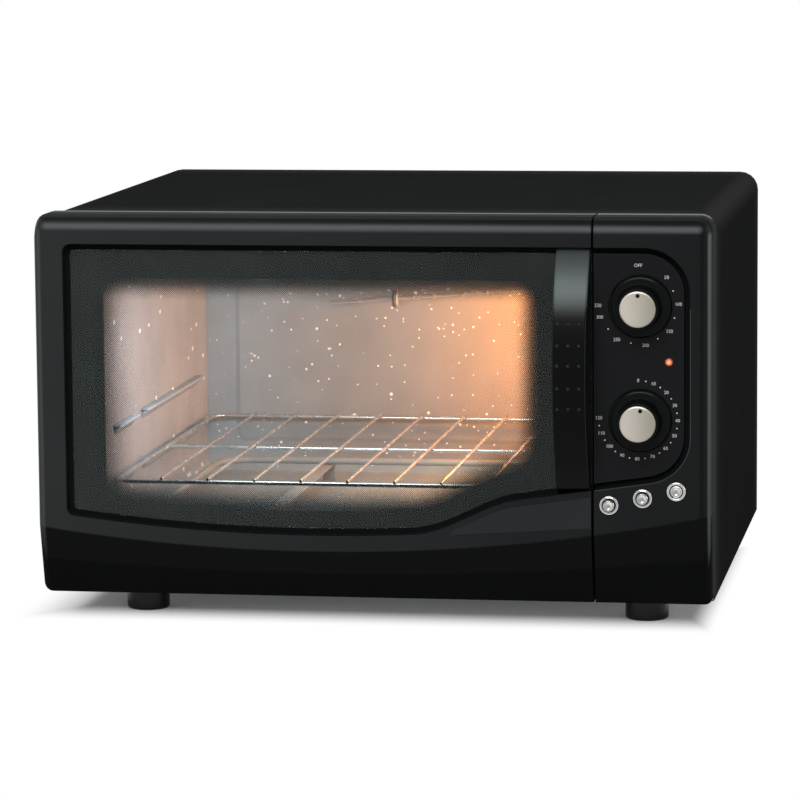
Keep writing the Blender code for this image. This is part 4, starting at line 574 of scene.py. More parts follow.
@dataclass(frozen=True)
class SpunMetal(Finish):
    """Spun metal disc: rings about its centre in gloss, tone and relief, and a painted shade that darkens it
    towards the right.
    """

    centre: tuple[float, float, float]
    colour: Colour = (0.55, 0.495, 0.445)
    shade: Colour = (0.3, 0.3, 0.24)

    def dress(self, bench: Bench) -> None:
        """Fill the material's nodes.

        Args:
            bench: The material's node tree.
        """
        local, radius = bench.about(self.centre)
        ring = bench.add("ShaderNodeTexNoise", {"W": radius, "Scale": 2600.0, "Detail": 3.0},
                         noise_dimensions="1D").outputs[0]
        side = bench.add("ShaderNodeSeparateXYZ", {0: local}).outputs[0]
        # Painted shade: the disc darkens from left to right.
        tone = bench.blend(bench.soft_step(side, -0.014, 0.019), self.colour, self.shade)
        worn = bench.add("ShaderNodeMix", {0: 1.0, 6: tone, 7: (0.88, 0.88, 0.88)},
                         data_type="RGBA", blend_type="MULTIPLY").outputs[2]
        bench.surface(
            Base_Color=bench.blend(bench.span(ring, 0.35, 0.65, 0.0, 1.0), worn, tone),
            Metallic=1.0,
            Roughness=bench.span(ring, 0.3, 0.7, 0.3, 0.44),
            Normal=bench.relief(ring, 0.000012),
        )


@dataclass(frozen=True)
class Pane(Finish):
    """Clear pane that shows what is behind it: a tint, and the reflection of plain glass."""

    tint: Colour = (0.95, 0.96, 0.955)
    roughness: float = 0.02
    least: float = 0.008
    glow: float = 0.0
    glow_colour: Colour = (1.0, 0.7, 0.4)

    def dress(self, bench: Bench) -> None:
        """Fill the material's nodes.

        Args:
            bench: The material's node tree.
        """
        smear = bench.span(bench.noise(0.03, 4.0), 0.45, 0.75, self.roughness, self.roughness * 3)
        clear = bench.add("ShaderNodeBsdfTransparent", {0: self.tint}).outputs[0]
        mirror = bench.add("ShaderNodeBsdfGlossy", {"Color": (1.0, 1.0, 1.0), "Roughness": smear}).outputs[0]
        if self.glow:
            light = bench.add("ShaderNodeEmission", {0: self.glow_colour, 1: self.glow}).outputs[0]
            clear = bench.add("ShaderNodeMixShader", {0: 0.3, 1: clear, 2: light}).outputs[0]
        facing = bench.facing()
        edge = bench.sums("MULTIPLY_ADD", bench.sums("POWER", facing, 5.0), 1 - self.least, self.least)
        bench.layered(edge, clear, mirror)


@dataclass(frozen=True)
class PrintedBorder(Finish):
    """Black fired print on the pane, broken into dots where the piece's own cover value falls."""

    colour: Colour = (0.013, 0.0165, 0.0158)
    pitch: float = 0.0016

    def dress(self, bench: Bench) -> None:
        """Fill the material's nodes.

        Args:
            bench: The material's node tree.
        """
        across, _, up = bench.halves()
        turn = 2 * math.pi / self.pitch
        waves = [bench.sums("SINE", bench.sums("MULTIPLY", bench.sums(way, across, up), turn))
                 for way in ("ADD", "SUBTRACT")]
        dots = bench.span(bench.sums("ADD", *waves), -2.0, 2.0, 0.02, 0.98)
        cover = bench.add("ShaderNodeAttribute", attribute_name="cover").outputs["Fac"]
        # Painted reflection across the print: lighter at the left, darker at the right.
        tones = [bench.shaded(tuple(share * level for share in self.colour), 0.05, 0.15)
                 for level in (1.3, 0.72)]
        bench.surface(
            Base_Color=bench.blend(bench.soft_step(across, -0.22, 0.16), *tones),
            Roughness=bench.uneven(0.02, 0.3, 0.4),
            Specular_IOR_Level=0.05,
        )
        clear = bench.add("ShaderNodeBsdfTransparent").outputs[0]
        ink = bench.soft_step(bench.sums("SUBTRACT", cover, dots), -0.35, 0.3)
        full = bench.span(cover, 0.85, 1.0, 0.0, 1.0)
        bench.layered(bench.sums("MAXIMUM", ink, full), clear, bench.shader.outputs[0])


@dataclass(frozen=True)
class Lit(Finish):
    """Lit lens or bulb: coloured shell that gives light of its own."""

    colour: Colour
    strength: float
    roughness: float = 0.2

    def dress(self, bench: Bench) -> None:
        """Fill the material's nodes.

        Args:
            bench: The material's node tree.
        """
        core = bench.shaded(self.colour, 0.004, 0.15)
        bench.surface(
            Base_Color=core,
            Roughness=bench.uneven(0.003, self.roughness * 0.8, self.roughness * 1.2),
            Emission_Color=core,
            Emission_Strength=self.strength,
        )


@dataclass(frozen=True)
class PilotGlow(Finish):
    """Lit pilot lens: pale at its middle, orange round it and deep red at its rim."""

    centre: tuple[float, float, float]
    core: Colour = (1.0, 0.52, 0.29)
    body: Colour = (0.78, 0.2, 0.065)
    rim: Colour = (0.12, 0.025, 0.012)
    core_edge: tuple[float, float] = (0.0019, 0.0029)
    rim_edge: tuple[float, float] = (0.003, 0.0041)

    def dress(self, bench: Bench) -> None:
        """Fill the material's nodes.

        Args:
            bench: The material's node tree.
        """
        _, radius = bench.about(self.centre)
        ripple = bench.sums("MULTIPLY_ADD", bench.noise(0.0011), 0.002, radius)
        glow = bench.blend(bench.soft_step(ripple, *self.core_edge), self.core, self.body)
        glow = bench.blend(bench.soft_step(ripple, *self.rim_edge), glow, self.rim)
        bench.surface(
            Base_Color=(0.12, 0.02, 0.01),
            Roughness=bench.uneven(0.003, 0.15, 0.25),
            Emission_Color=glow,
            Emission_Strength=0.95,
        )


@dataclass(frozen=True)
class Plated(Finish):
    """Bright plating with a painted reflection: deep where it faces the viewer and pale at its edges."""

    # Colours of the painted reflection.
    deep: Colour = (0.33, 0.33, 0.32)
    pale: Colour = (0.9, 0.9, 0.88)
    roughness: float = 0.1

    def dress(self, bench: Bench) -> None:
        """Fill the material's nodes.

        Args:
            bench: The material's node tree.
        """
        facing = bench.facing()
        smear = bench.noise(0.004, 4.0)
        # Painted reflection: deep where the surface faces the viewer, pale towards its edges.
        tone = bench.blend(bench.soft_step(facing, 0.015, 0.2), self.deep, self.pale)
        bench.surface(
            Base_Color=bench.blend(bench.span(smear, 0.3, 0.7, 0.0, 0.25), tone, self.deep),
            Metallic=1.0,
            Roughness=bench.span(smear, 0.3, 0.7, self.roughness * 0.7, self.roughness * 1.4),
            Normal=bench.relief(bench.noise(0.0005), 0.000002),
        )


@dataclass(frozen=True)
class MineralWool(Finish):
    """Pressed mineral fibre: tangled, soft and matt."""

    colour: Colour = (0.62, 0.56, 0.36)

    def dress(self, bench: Bench) -> None:
        """Fill the material's nodes.

        Args:
            bench: The material's node tree.
        """
        pressed = {"Vector": bench.place, "Scale": (1.0, 0.25, 1.0)}
        stretched = bench.add("ShaderNodeMapping", pressed).outputs[0]
        fibre = bench.noise(0.0015, 5.0, stretched)
        dark = tuple(share * 0.6 for share in self.colour)
        bench.surface(
            Base_Color=bench.blend(bench.span(fibre, 0.35, 0.65, 0.0, 1.0), dark, self.colour),
            Roughness=bench.span(fibre, 0.3, 0.7, 0.85, 1.0),
            Normal=bench.relief(fibre, 0.0008),
        )


@dataclass(frozen=True)
class DialInk(Finish):
    """Pale screen-printed ink, thin in places."""

    colour: Colour = (0.62, 0.63, 0.63)

    def dress(self, bench: Bench) -> None:
        """Fill the material's nodes.

        Args:
            bench: The material's node tree.
        """
        bench.surface(
            Base_Color=bench.shaded(self.colour, 0.0012, 0.12),
            Roughness=bench.uneven(0.002, 0.45, 0.6),
            Specular_IOR_Level=0.3,
        )


# Front moulding, with painted shade to the right and on the apron.
CHARCOAL = FrontSkin("satin_charcoal", (0.0235, 0.0255, 0.0262), 0.3, 0.06,
                     painted_right_shade=(0.0085, 0.0098, 0.0104), painted_low_shade=(0.0012, 0.0016, 0.0014))
PLATE = Moulded("accent_charcoal", (0.0215, 0.0235, 0.0255), 0.34, 0.06)
# Pale strip along the fascia's channel: a painted highlight.
LIP_HIGHLIGHT = Moulded("groove_lip_highlight", (0.04, 0.044, 0.045), 0.3, 0.06)
ISLAND = Moulded("island_black", (0.0064, 0.0068, 0.0078), 0.26, 0.08)
PAINT = Moulded("baked_black_paint", (0.0195, 0.0208, 0.0197), 0.7, 0.0, grain=0.0012, depth=0.000004)
CASING = CasingPaint("casing_black_paint", (0.0175, 0.0192, 0.0182), 0.7, 0.0, grain=0.0012, depth=0.000004)
GLOSS_BLACK = Moulded("gloss_black_plastic", (0.001, 0.001, 0.001), 0.2, 0.1, depth=0.000001)
SKIRT_BLACK = Moulded("knob_skirt_plastic", (0.0025, 0.003, 0.0032), 0.18, 0.07, depth=0.000001)
# Black lining of the front's grooves.
GROOVE_BLACK = Moulded("dark_groove_lining", (0.006, 0.0065, 0.007), 0.8, 0.02)
FOOT_BLACK = Moulded("foot_black_plastic", (0.003, 0.003, 0.003), 0.24, 0.2)
SWITCH_PLASTIC = Moulded("natural_nylon", (0.62, 0.61, 0.56), 0.5, 0.4)
SILICONE = Moulded("seal_silicone", (0.03, 0.03, 0.03), 0.7, 0.3, grain=0.0004, depth=0.00002)
PORCELAIN = Moulded("white_porcelain", (0.8, 0.78, 0.73), 0.35, 0.5)
HEATER_SKIN = BrightMetal("oxidised_heater_tube", (0.25, 0.25, 0.245), 0.5, 0.03, 0.3)
FIRED_SKIN = BrightMetal("fired_heater_tube", (0.27, 0.3, 0.31), 0.6, 0.03, 0.05)
COLLAR = BrightMetal("blued_probe_collar", (0.07, 0.085, 0.09), 0.55, 0.03, 0.1)
STRAP = BrightMetal("dull_heater_strap", (0.26, 0.26, 0.25), 0.5, 0.02, 0.5)
ZINC = ZincSheet("zinc_sheet")
ENAMEL = SpeckledEnamel("speckled_enamel")
WIRE = BrightMetal("bright_nickel", (0.59, 0.59, 0.58), 0.24, metallic=0.8)
CHROME = Plated("polished_chrome")
COPPER = BrightMetal("bare_copper", (0.72, 0.4, 0.26), 0.32)
WOOL = MineralWool("mineral_wool")
DOOR_GLASS = Pane("door_pane_glass")
INNER_GLASS = Pane("inner_pane_glass", (0.95, 0.95, 0.94))
LAMP_DOME = Pane("lamp_dome_glass", (0.97, 0.95, 0.92), 0.05, glow=1.4)
PRINT = PrintedBorder("dotted_black_print")
INK = DialInk("dial_ink")
AMBER = PilotGlow("amber_lens", (0.254, FACE_Y, 0.240968))
BULB = Lit("lit_bulb", (1.0, 0.78, 0.5), 9.0)


# Mesh helpers


def mesh_data(name: str, mesh: Shape) -> bpy.types.Mesh:
    """Data block of a working mesh.

    Args:
        name: Name of the data block.
        mesh: The working mesh, used up.

    Returns:
        The data block.
    """
    data = bpy.data.meshes.new(name)
    mesh.to_mesh(data)
    mesh.free()
    return data


def placed(name: str, data: bpy.types.ID) -> bpy.types.Object:
    """New object in the scene.

    Args:
        name: Name of the object.
        data: Its mesh, curve, lamp or camera.

    Returns:
        The object.
    """
    holder = bpy.data.objects.new(name, data)
    bpy.context.scene.collection.objects.link(holder)
    return holder


def raised(point: Vector, level: float, axis: Axis) -> Vector:
    """Point of an outline at a level along the axis that it is extruded on."""
    order = {Axis.ACROSS: (level, point.x, point.y), Axis.DEPTH: (point.x, level, point.y),
             Axis.UP: (point.x, point.y, level)}
    return Vector(order[axis])


def rounded(corners: Sequence[Sequence[float]], steps: int = 10, closed: bool = True) -> Outline:
    """Line through corners, each rounded to its own radius.

    Args:
        corners: (u, v) or (u, v, radius) of each corner.
        steps: Segments of a rounded corner.
        closed: Whether the last corner joins the first.

    Returns:
        The line's points.
    """
    points: Outline = []
    for index, corner in enumerate(corners):
        here = Vector(corner[:2])
        radius = corner[2] if len(corner) > 2 else 0.0
        if radius <= 0 or (not closed and index in (0, len(corners) - 1)):
            points.append(here)
            continue
        back = (Vector(corners[index - 1][:2]) - here).normalized()
        ahead = (Vector(corners[(index + 1) % len(corners)][:2]) - here).normalized()
        half = back.angle(ahead) / 2
        centre = here + (back + ahead).normalized() * (radius / math.sin(half))
        arm = here + back * (radius / math.tan(half)) - centre
        turn = math.copysign(math.pi - 2 * half, -back.cross(ahead))
        for step in range(steps + 1):
            points.append(centre + Matrix.Rotation(turn * step / steps, 2) @ arm)
    return points


def box_outline(left: float, right: float, low: float, high: float, radius: float = 0.0) -> Outline:
    """Outline of a rectangle with equal corners."""
    return rounded([(left, low, radius), (right, low, radius), (right, high, radius), (left, high, radius)])


def circle(u: float, v: float, radius: float, steps: int = 32) -> Outline:
    """Outline of a circle."""
    return [Vector((u + radius * math.cos(turn), v + radius * math.sin(turn)))
            for turn in (2 * math.pi * step / steps for step in range(steps))]


def loft(rings: Sequence[Sequence[Vector]]) -> Shape:
    """Closed skin through rings of as many points each.

    Args:
        rings: The outlines in order, of which the first and the last are capped.

    Returns:
        The mesh, made by extruding the first outline on to each next one.
    """
    mesh = bmesh.new()
    face = mesh.faces.new([mesh.verts.new(point) for point in rings[0]])
    first = list(face.verts)
    for ring in rings[1:]:
        face = bmesh.ops.extrude_discrete_faces(mesh, faces=[face])["faces"][0]
        for vert, point in zip(face.verts, ring):
            vert.co = point
    mesh.faces.new(first[::-1])
    bmesh.ops.recalc_face_normals(mesh, faces=mesh.faces)
    return mesh


def slab(outline: Outline, start: float, end: float, axis: Axis = Axis.DEPTH) -> Shape:
    """Outline extruded between two levels of an axis."""
    return loft([[raised(point, level, axis) for point in outline] for level in (start, end)])


def block(low: Sequence[float], high: Sequence[float]) -> Shape:
    """Box between two corners."""
    return slab(box_outline(low[0], high[0], low[2], high[2]), low[1], high[1])


def lathe(profile: Sequence[Sequence[float]], closed: bool = False, steps: int = 64) -> Shape:
    """Profile of (radius, height) turned about Z.

    Args:
        profile: Its points in order.
        closed: Whether the profile closes on itself, as in a ring.
        steps: Segments of the turn.

    Returns:
        The mesh, facing outwards.
    """
    mesh = bmesh.new()
    verts = [mesh.verts.new((radius, 0.0, height)) for radius, height in profile]
    following = verts[1:] + verts[:1] if closed else verts[1:]
    edges = [mesh.edges.new(pair) for pair in zip(verts, following)]
    bmesh.ops.spin(mesh, geom=verts + edges, cent=(0, 0, 0), axis=(0, 0, 1), dvec=(0, 0, 0),
                   angle=2 * math.pi, steps=steps, use_merge=True, use_duplicate=False)
    bmesh.ops.remove_doubles(mesh, verts=mesh.verts, dist=CLOSE)
    bmesh.ops.recalc_face_normals(mesh, faces=mesh.faces)
    return mesh


def stood(mesh: Shape, place: Sequence[float], facing: Facing = Facing.FRONT) -> Shape:
    """The same mesh, turned and moved to its place."""
    bmesh.ops.transform(mesh, matrix=Matrix.Translation(place) @ facing.matrix(), verts=mesh.verts)
    return mesh


def bar(path: Sequence[Vector], radius: float, sides: int = 14, closed: bool = False) -> Shape:
    """Round bar along a path, mitred at its points.

    Args:
        path: Points of its centre line.
        radius: Radius of the bar.
        sides: Sides of its section.
        closed: Whether the path is a loop.

    Returns:
        The mesh.
    """
    count = len(path)
    rings = []
    for index, point in enumerate(path):
        behind = path[index - 1] if index or closed else point
        beyond = path[(index + 1) % count] if index < count - 1 or closed else point
        along = (beyond - behind).normalized()
        side = along.cross(Vector((0, 0, 1)) if abs(along.z) < 0.9 else Vector((1, 0, 0))).normalized()
        top = side.cross(along)
        rings.append([point + side * spot.x + top * spot.y for spot in circle(0, 0, radius, sides)])
    if closed:
        rings.append(rings[0])
    mesh = loft(rings)
    if closed:
        caps = [face for face in mesh.faces if len(face.verts) == sides]
        bmesh.ops.delete(mesh, geom=caps, context="FACES_ONLY")
        bmesh.ops.remove_doubles(mesh, verts=mesh.verts, dist=CLOSE)
        bmesh.ops.recalc_face_normals(mesh, faces=mesh.faces)
    return mesh


def joined(meshes: Sequence[Shape]) -> Shape:
    """One mesh that holds several separate bodies.

    Args:
        meshes: The bodies, used up.

    Returns:
        The mesh.
    """
    whole = bmesh.new()
    for part in meshes:
        scratch = mesh_data("scratch", part)
        whole.from_mesh(scratch)
        bpy.data.meshes.remove(scratch)
    return whole


def carved(mesh: Shape, tool: Shape, operation: str = "DIFFERENCE") -> Shape:
    """A mesh with another one taken from it, or added to it.

    Args:
        mesh: Mesh to work on, used up.
        tool: Shape to take away or add, used up.
        operation: Kind of Boolean.

    Returns:
        The new mesh.
    """
    pair = [placed("scratch", mesh_data("scratch", source)) for source in (mesh, tool)]
    modifier = pair[0].modifiers.new("carve", "BOOLEAN")
    modifier.operation = operation
    modifier.solver = "EXACT"
    modifier.object = pair[1]
    result = bmesh.new()
    result.from_object(pair[0], bpy.context.evaluated_depsgraph_get())
    for obj in pair:
        data = obj.data
        bpy.data.objects.remove(obj)
        bpy.data.meshes.remove(data)
    return result


def cleaned(mesh: Shape, flat: float = 0.2) -> Shape:
    """The same mesh without doubles and without the edges inside flat faces.

    Args:
        mesh: Mesh to work on.
        flat: Angle in degrees under which two faces count as one.

    Returns:
        The mesh.
    """
    bmesh.ops.remove_doubles(mesh, verts=mesh.verts, dist=CLOSE)
    bmesh.ops.dissolve_limit(mesh, angle_limit=math.radians(flat), verts=mesh.verts, edges=mesh.edges)
    return mesh


def trimmed(mesh: Shape, place: Sequence[float], normal: Sequence[float]) -> Shape:
    """The same mesh without what lies beyond a plane, closed again there.

    Args:
        mesh: Mesh to work on.
        place: A point of the plane.
        normal: Direction in which the mesh is taken away.

    Returns:
        The mesh.
    """
    bmesh.ops.bisect_plane(mesh, geom=mesh.verts[:] + mesh.edges[:] + mesh.faces[:], plane_co=place,
                           plane_no=normal, clear_outer=True)
    bmesh.ops.holes_fill(mesh, edges=[edge for edge in mesh.edges if edge.is_boundary])
    return mesh


def softened(mesh: Shape, width: float, angle: float = 60.0, segments: int = 2,
             choose: Callable[[bmesh.types.BMEdge], bool] | None = None) -> Shape:
    """The same mesh with its sharp edges rounded.

    Args:
        mesh: Mesh to work on.
        width: Width of the rounding.
        angle: Angle in degrees over which an edge is sharp.
        segments: Segments of the rounding.
        choose: Which of the sharp edges are rounded, or None for all.

    Returns:
        The mesh.
    """
    sharp = [edge for edge in mesh.edges if edge.is_manifold and edge.calc_face_angle() > math.radians(angle)
             and (choose is None or choose(edge))]
    bmesh.ops.bevel(mesh, geom=sharp, offset=width, offset_type="OFFSET", affect="EDGES", segments=segments,
                    profile=0.5, material=-1, clamp_overlap=True)
    return mesh


def publish(name: str, mesh: Shape, finish: Finish, body: Body, replaces: Sequence[str] = (),
            smooth: float = 35.0) -> bpy.types.Object:
    """Turn a finished mesh into a piece of the model.

    Args:
        name: Name of the piece.
        mesh: Its mesh in millimetres in the front's frame, used up.
        finish: Its finish.
        body: Body that it rides on.
        replaces: CAD nodes that it stands for.
        smooth: Angle in degrees under which edges are shaded smooth.

    Returns:
        The piece.
    """
    bmesh.ops.scale(mesh, vec=(MM, MM, MM), verts=mesh.verts)
    bmesh.ops.translate(mesh, vec=(0, FACE_Y, 0), verts=mesh.verts)
    data = mesh_data(name, mesh)
    data.materials.append(finish.material())
    data.shade_smooth()
    data.set_sharp_from_angle(angle=math.radians(smooth))
    piece = placed(name, data)
    even = piece.modifiers.new("even_normals", "WEIGHTED_NORMAL")
    even.keep_sharp = True
    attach(piece, body.value)
    if replaces:
        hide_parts(*replaces)
    log.info("%s: %d faces on %s", name, len(data.polygons), body.value)
    return piece


def copy_of_node(node: str) -> Shape:
    """Merged copy of a CAD node's mesh, in millimetres in the front's frame.

    Args:
        node: Name of the node.

    Returns:
        The mesh.
    """
    mesh = bmesh.new()
    mesh.from_mesh(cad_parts[node].data)
    bmesh.ops.translate(mesh, vec=(0, -FACE_Y, 0), verts=mesh.verts)
    bmesh.ops.scale(mesh, vec=(1 / MM, 1 / MM, 1 / MM), verts=mesh.verts)
    return cleaned(mesh, 0.5)


def eased(piece: str, node: str, finish: Finish, body: Body, width: float = 0.3,
          smooth: float = 35.0) -> None:
    """Stand a copy of a CAD node in its place, with its sharp edges eased.

    Args:
        piece: Name of the piece.
        node: The CAD node.
        finish: The piece's finish.
        body: Body that it rides on.
        width: Width of the eased edges in millimetres, 0 for none.
        smooth: Angle in degrees under which edges are shaded smooth.
    """
    mesh = copy_of_node(node)
    if width:
        softened(mesh, width)
    publish(piece, mesh, finish, body, (node,), smooth)


def lining(name: str, outer: Outline, inner: Outline, core: Outline, body: Body) -> None:
    """Line a groove of the front with a thin black skin.

    Args:
        name: Name of the piece.
        outer: Outline of the skin's outside.
        inner: Outline of its inside.
        core: Outline of what stands inside the groove.
        body: Body that it rides on.
    """
    mesh = carved(slab(outer, 1.0, 9.25), slab(inner, -1.0, 8.8))
    mesh = carved(mesh, slab(core, 0.0, 20.0))
    publish(name, cleaned(mesh), GROOVE_BLACK, body)


# Lines of the front


def edge_drop(radius: float, distance: float) -> float:
    """How far a rounded edge falls back.

    Args:
        radius: Radius of the rounding.
        distance: How far in from the edge it is measured.

    Returns:
        The drop.
    """
    if distance >= radius:
        return 0.0
    return radius - math.sqrt(radius ** 2 - (radius - distance) ** 2)


def evenly(start: float, end: float, count: int) -> list[float]:
    """Numbers from start up to, but not including, end."""
    return [start + (end - start) * step / count for step in range(count)]


@dataclass(frozen=True)
class FrontLines:
    """Lines that the door frame and the fascia share, in millimetres."""

    left: float = -290.0
    right: float = 290.0
    seam: float = 190.0
    gap: float = 1.6
    top: float = 362.0
    bottom: float = 34.0
    top_round: float = 13.0
    side_round: float = 9.0
    seam_round: float = 1.2
    corner: float = 12.0
    foot_corner: float = 6.0
    left_foot_corner: float = 9.5
    setback: float = 15.0
    kink_radius: float = 1600.0
    kink_x: float = -50.0
    kink_low: float = 76.0
    groove_left: float = -264.0
    groove_right: float = 272.0
    groove_top: float = 337.0
    over_kink: float = 13.0
    groove_width: float = 5.4
    groove_depth: float = 9.3
    island_depth: float = 5.0
    groove_corner: float = 7.0
    panel_corner: float = 39.0
    shelf: float = 131.744
    shelf_slope: float = math.tan(math.radians(8.3))
    rise_start: float = 35.0
    rise_end: float = 125.0
    hollow: float = 12.3

    @property
    def door_right(self) -> float:
        """The door frame's edge at the seam."""
        return self.seam - self.gap / 2

    @property
    def panel_left(self) -> float:
        """The fascia's edge at the seam."""
        return self.seam + self.gap / 2

    def kink(self, x: float) -> float:
        """Height of the swept line where the front turns back into the apron."""
        return self.kink_low + edge_drop(self.kink_radius, self.kink_radius - abs(x - self.kink_x))

    def groove_floor(self, x: float) -> float:
        """Lower edge of the groove: along the kink, then up in an S to the panel's shelf.

        Args:
            x: Place across the front.

        Returns:
            The edge's height.
        """
        low = self.kink(x) + self.over_kink
        shelf = self.shelf + self.shelf_slope * (x - self.seam)
        share = min(1.0, max(0.0, (x - self.rise_start) / (self.rise_end - self.rise_start)))
        return low + (shelf - low) * share * share * (3 - 2 * share)

    def section(self, x: float, outer: float, inner: float, depth: float, back_round: float) -> Outline:
        """Section of a front moulding.

        Args:
            x: Place across the front.
            outer: The x of the moulding's outer edge.
            inner: The x of its seam edge.
            depth: Depth of its back.
            back_round: Rounding of the back at the outer edge.

        Returns:
            Its outline, as (depth, height).
        """
        reach = abs(x - outer)
        face = edge_drop(self.side_round, reach) + edge_drop(self.seam_round, abs(x - inner))
        back = depth - edge_drop(back_round, reach)
        top = self.top - edge_drop(self.corner, reach)
        low = self.bottom + edge_drop(self.left_foot_corner if outer < 0 else self.foot_corner, reach)
        fall = self.setback * (self.kink(x) - low) / (self.kink(x) - self.bottom)
        points = [(back, low), (face + fall, low), (face, self.kink(x))]
        for step in range(11):
            turn = math.pi / 2 * step / 10
            points.append((face + self.top_round * (1 - math.cos(turn)),
                           top - self.top_round * (1 - math.sin(turn))))
        points.append((back, top))
        return [Vector(point) for point in points]

    def moulding(self, outer: float, inner: float, depth: float, back_round: float) -> Shape:
        """Solid of a front moulding from its outer edge to the seam.

        Args:
            outer: The x of the outer edge.
            inner: The x of the seam edge.
            depth: Depth of the back.
            back_round: Rounding of the back at the outer edge.

        Returns:
            The mesh.
        """
        inward = math.copysign(1.0, inner - outer)
        turns = [math.pi / 2 * step / 12 for step in range(13)]
        places = [outer + inward * self.corner * (1 - math.cos(turn)) for turn in turns]
        ends = [inner - inward * self.seam_round * share for share in (1.0, 0.6, 0.3, 0.1, 0.0)]
        places += evenly(places[-1], ends[0], max(2, round(abs(inner - outer) / 14)))[1:] + ends
        sections = ((x, self.section(x, outer, inner, depth, back_round)) for x in places)
        return loft([[raised(point, x, Axis.ACROSS) for point in section] for x, section in sections])

    def door_outline(self, margin: float, right: float, corner: float, right_corner: float = 0.0) -> Outline:
        """Outline inside the door's groove.

        Args:
            margin: Distance in from the groove's outer edge.
            right: The x at which it ends at the right.
            corner: Rounding of its left corners.
            right_corner: Rounding of its right corners.

        Returns:
            The outline.
        """
        left, top = self.groove_left + margin, self.groove_top - margin
        lead = left + 3 * self.groove_corner
        floor = evenly(lead, self.rise_start, 12) + evenly(self.rise_start, self.rise_end, 24)
        floor = [x for x in floor + evenly(self.rise_end, right, 4) if x < right - 2 * right_corner]
        corners = [(right, top, right_corner), (left, top, corner)]
        corners.append((left, self.groove_floor(left) + margin, corner))
        corners += [(x, self.groove_floor(x) + margin, 0.0) for x in floor]
        corners.append((right, self.groove_floor(right) + margin, right_corner))
        return rounded(corners)

    def panel_outline(self, margin: float, left: float) -> Outline:
        """Outline inside the fascia's groove.

        Args:
            margin: Distance in from the groove's outer edge.
            left: The x at which it ends at the left.

        Returns:
            The outline.
        """
        right, top = self.groove_right - margin, self.groove_top - margin
        corner = self.panel_corner - margin
        corners = [(left, self.groove_floor(left) + margin),
                   (right, self.groove_floor(right) + margin, corner),
                   (right, top, corner), (left, top)]
        return rounded(corners, 16)

    def step_height(self, x: float, outer: float) -> float:
        """Height above which a rear hollow may be deep."""
        spare = self.groove_depth - edge_drop(self.side_round, abs(x - outer))
        return self.kink(x) - (self.kink(x) - self.bottom) * min(1.0, spare / self.setback)


LINES = FrontLines()
LINING_WALL = (0.15, 0.6)


# Sub-assemblies


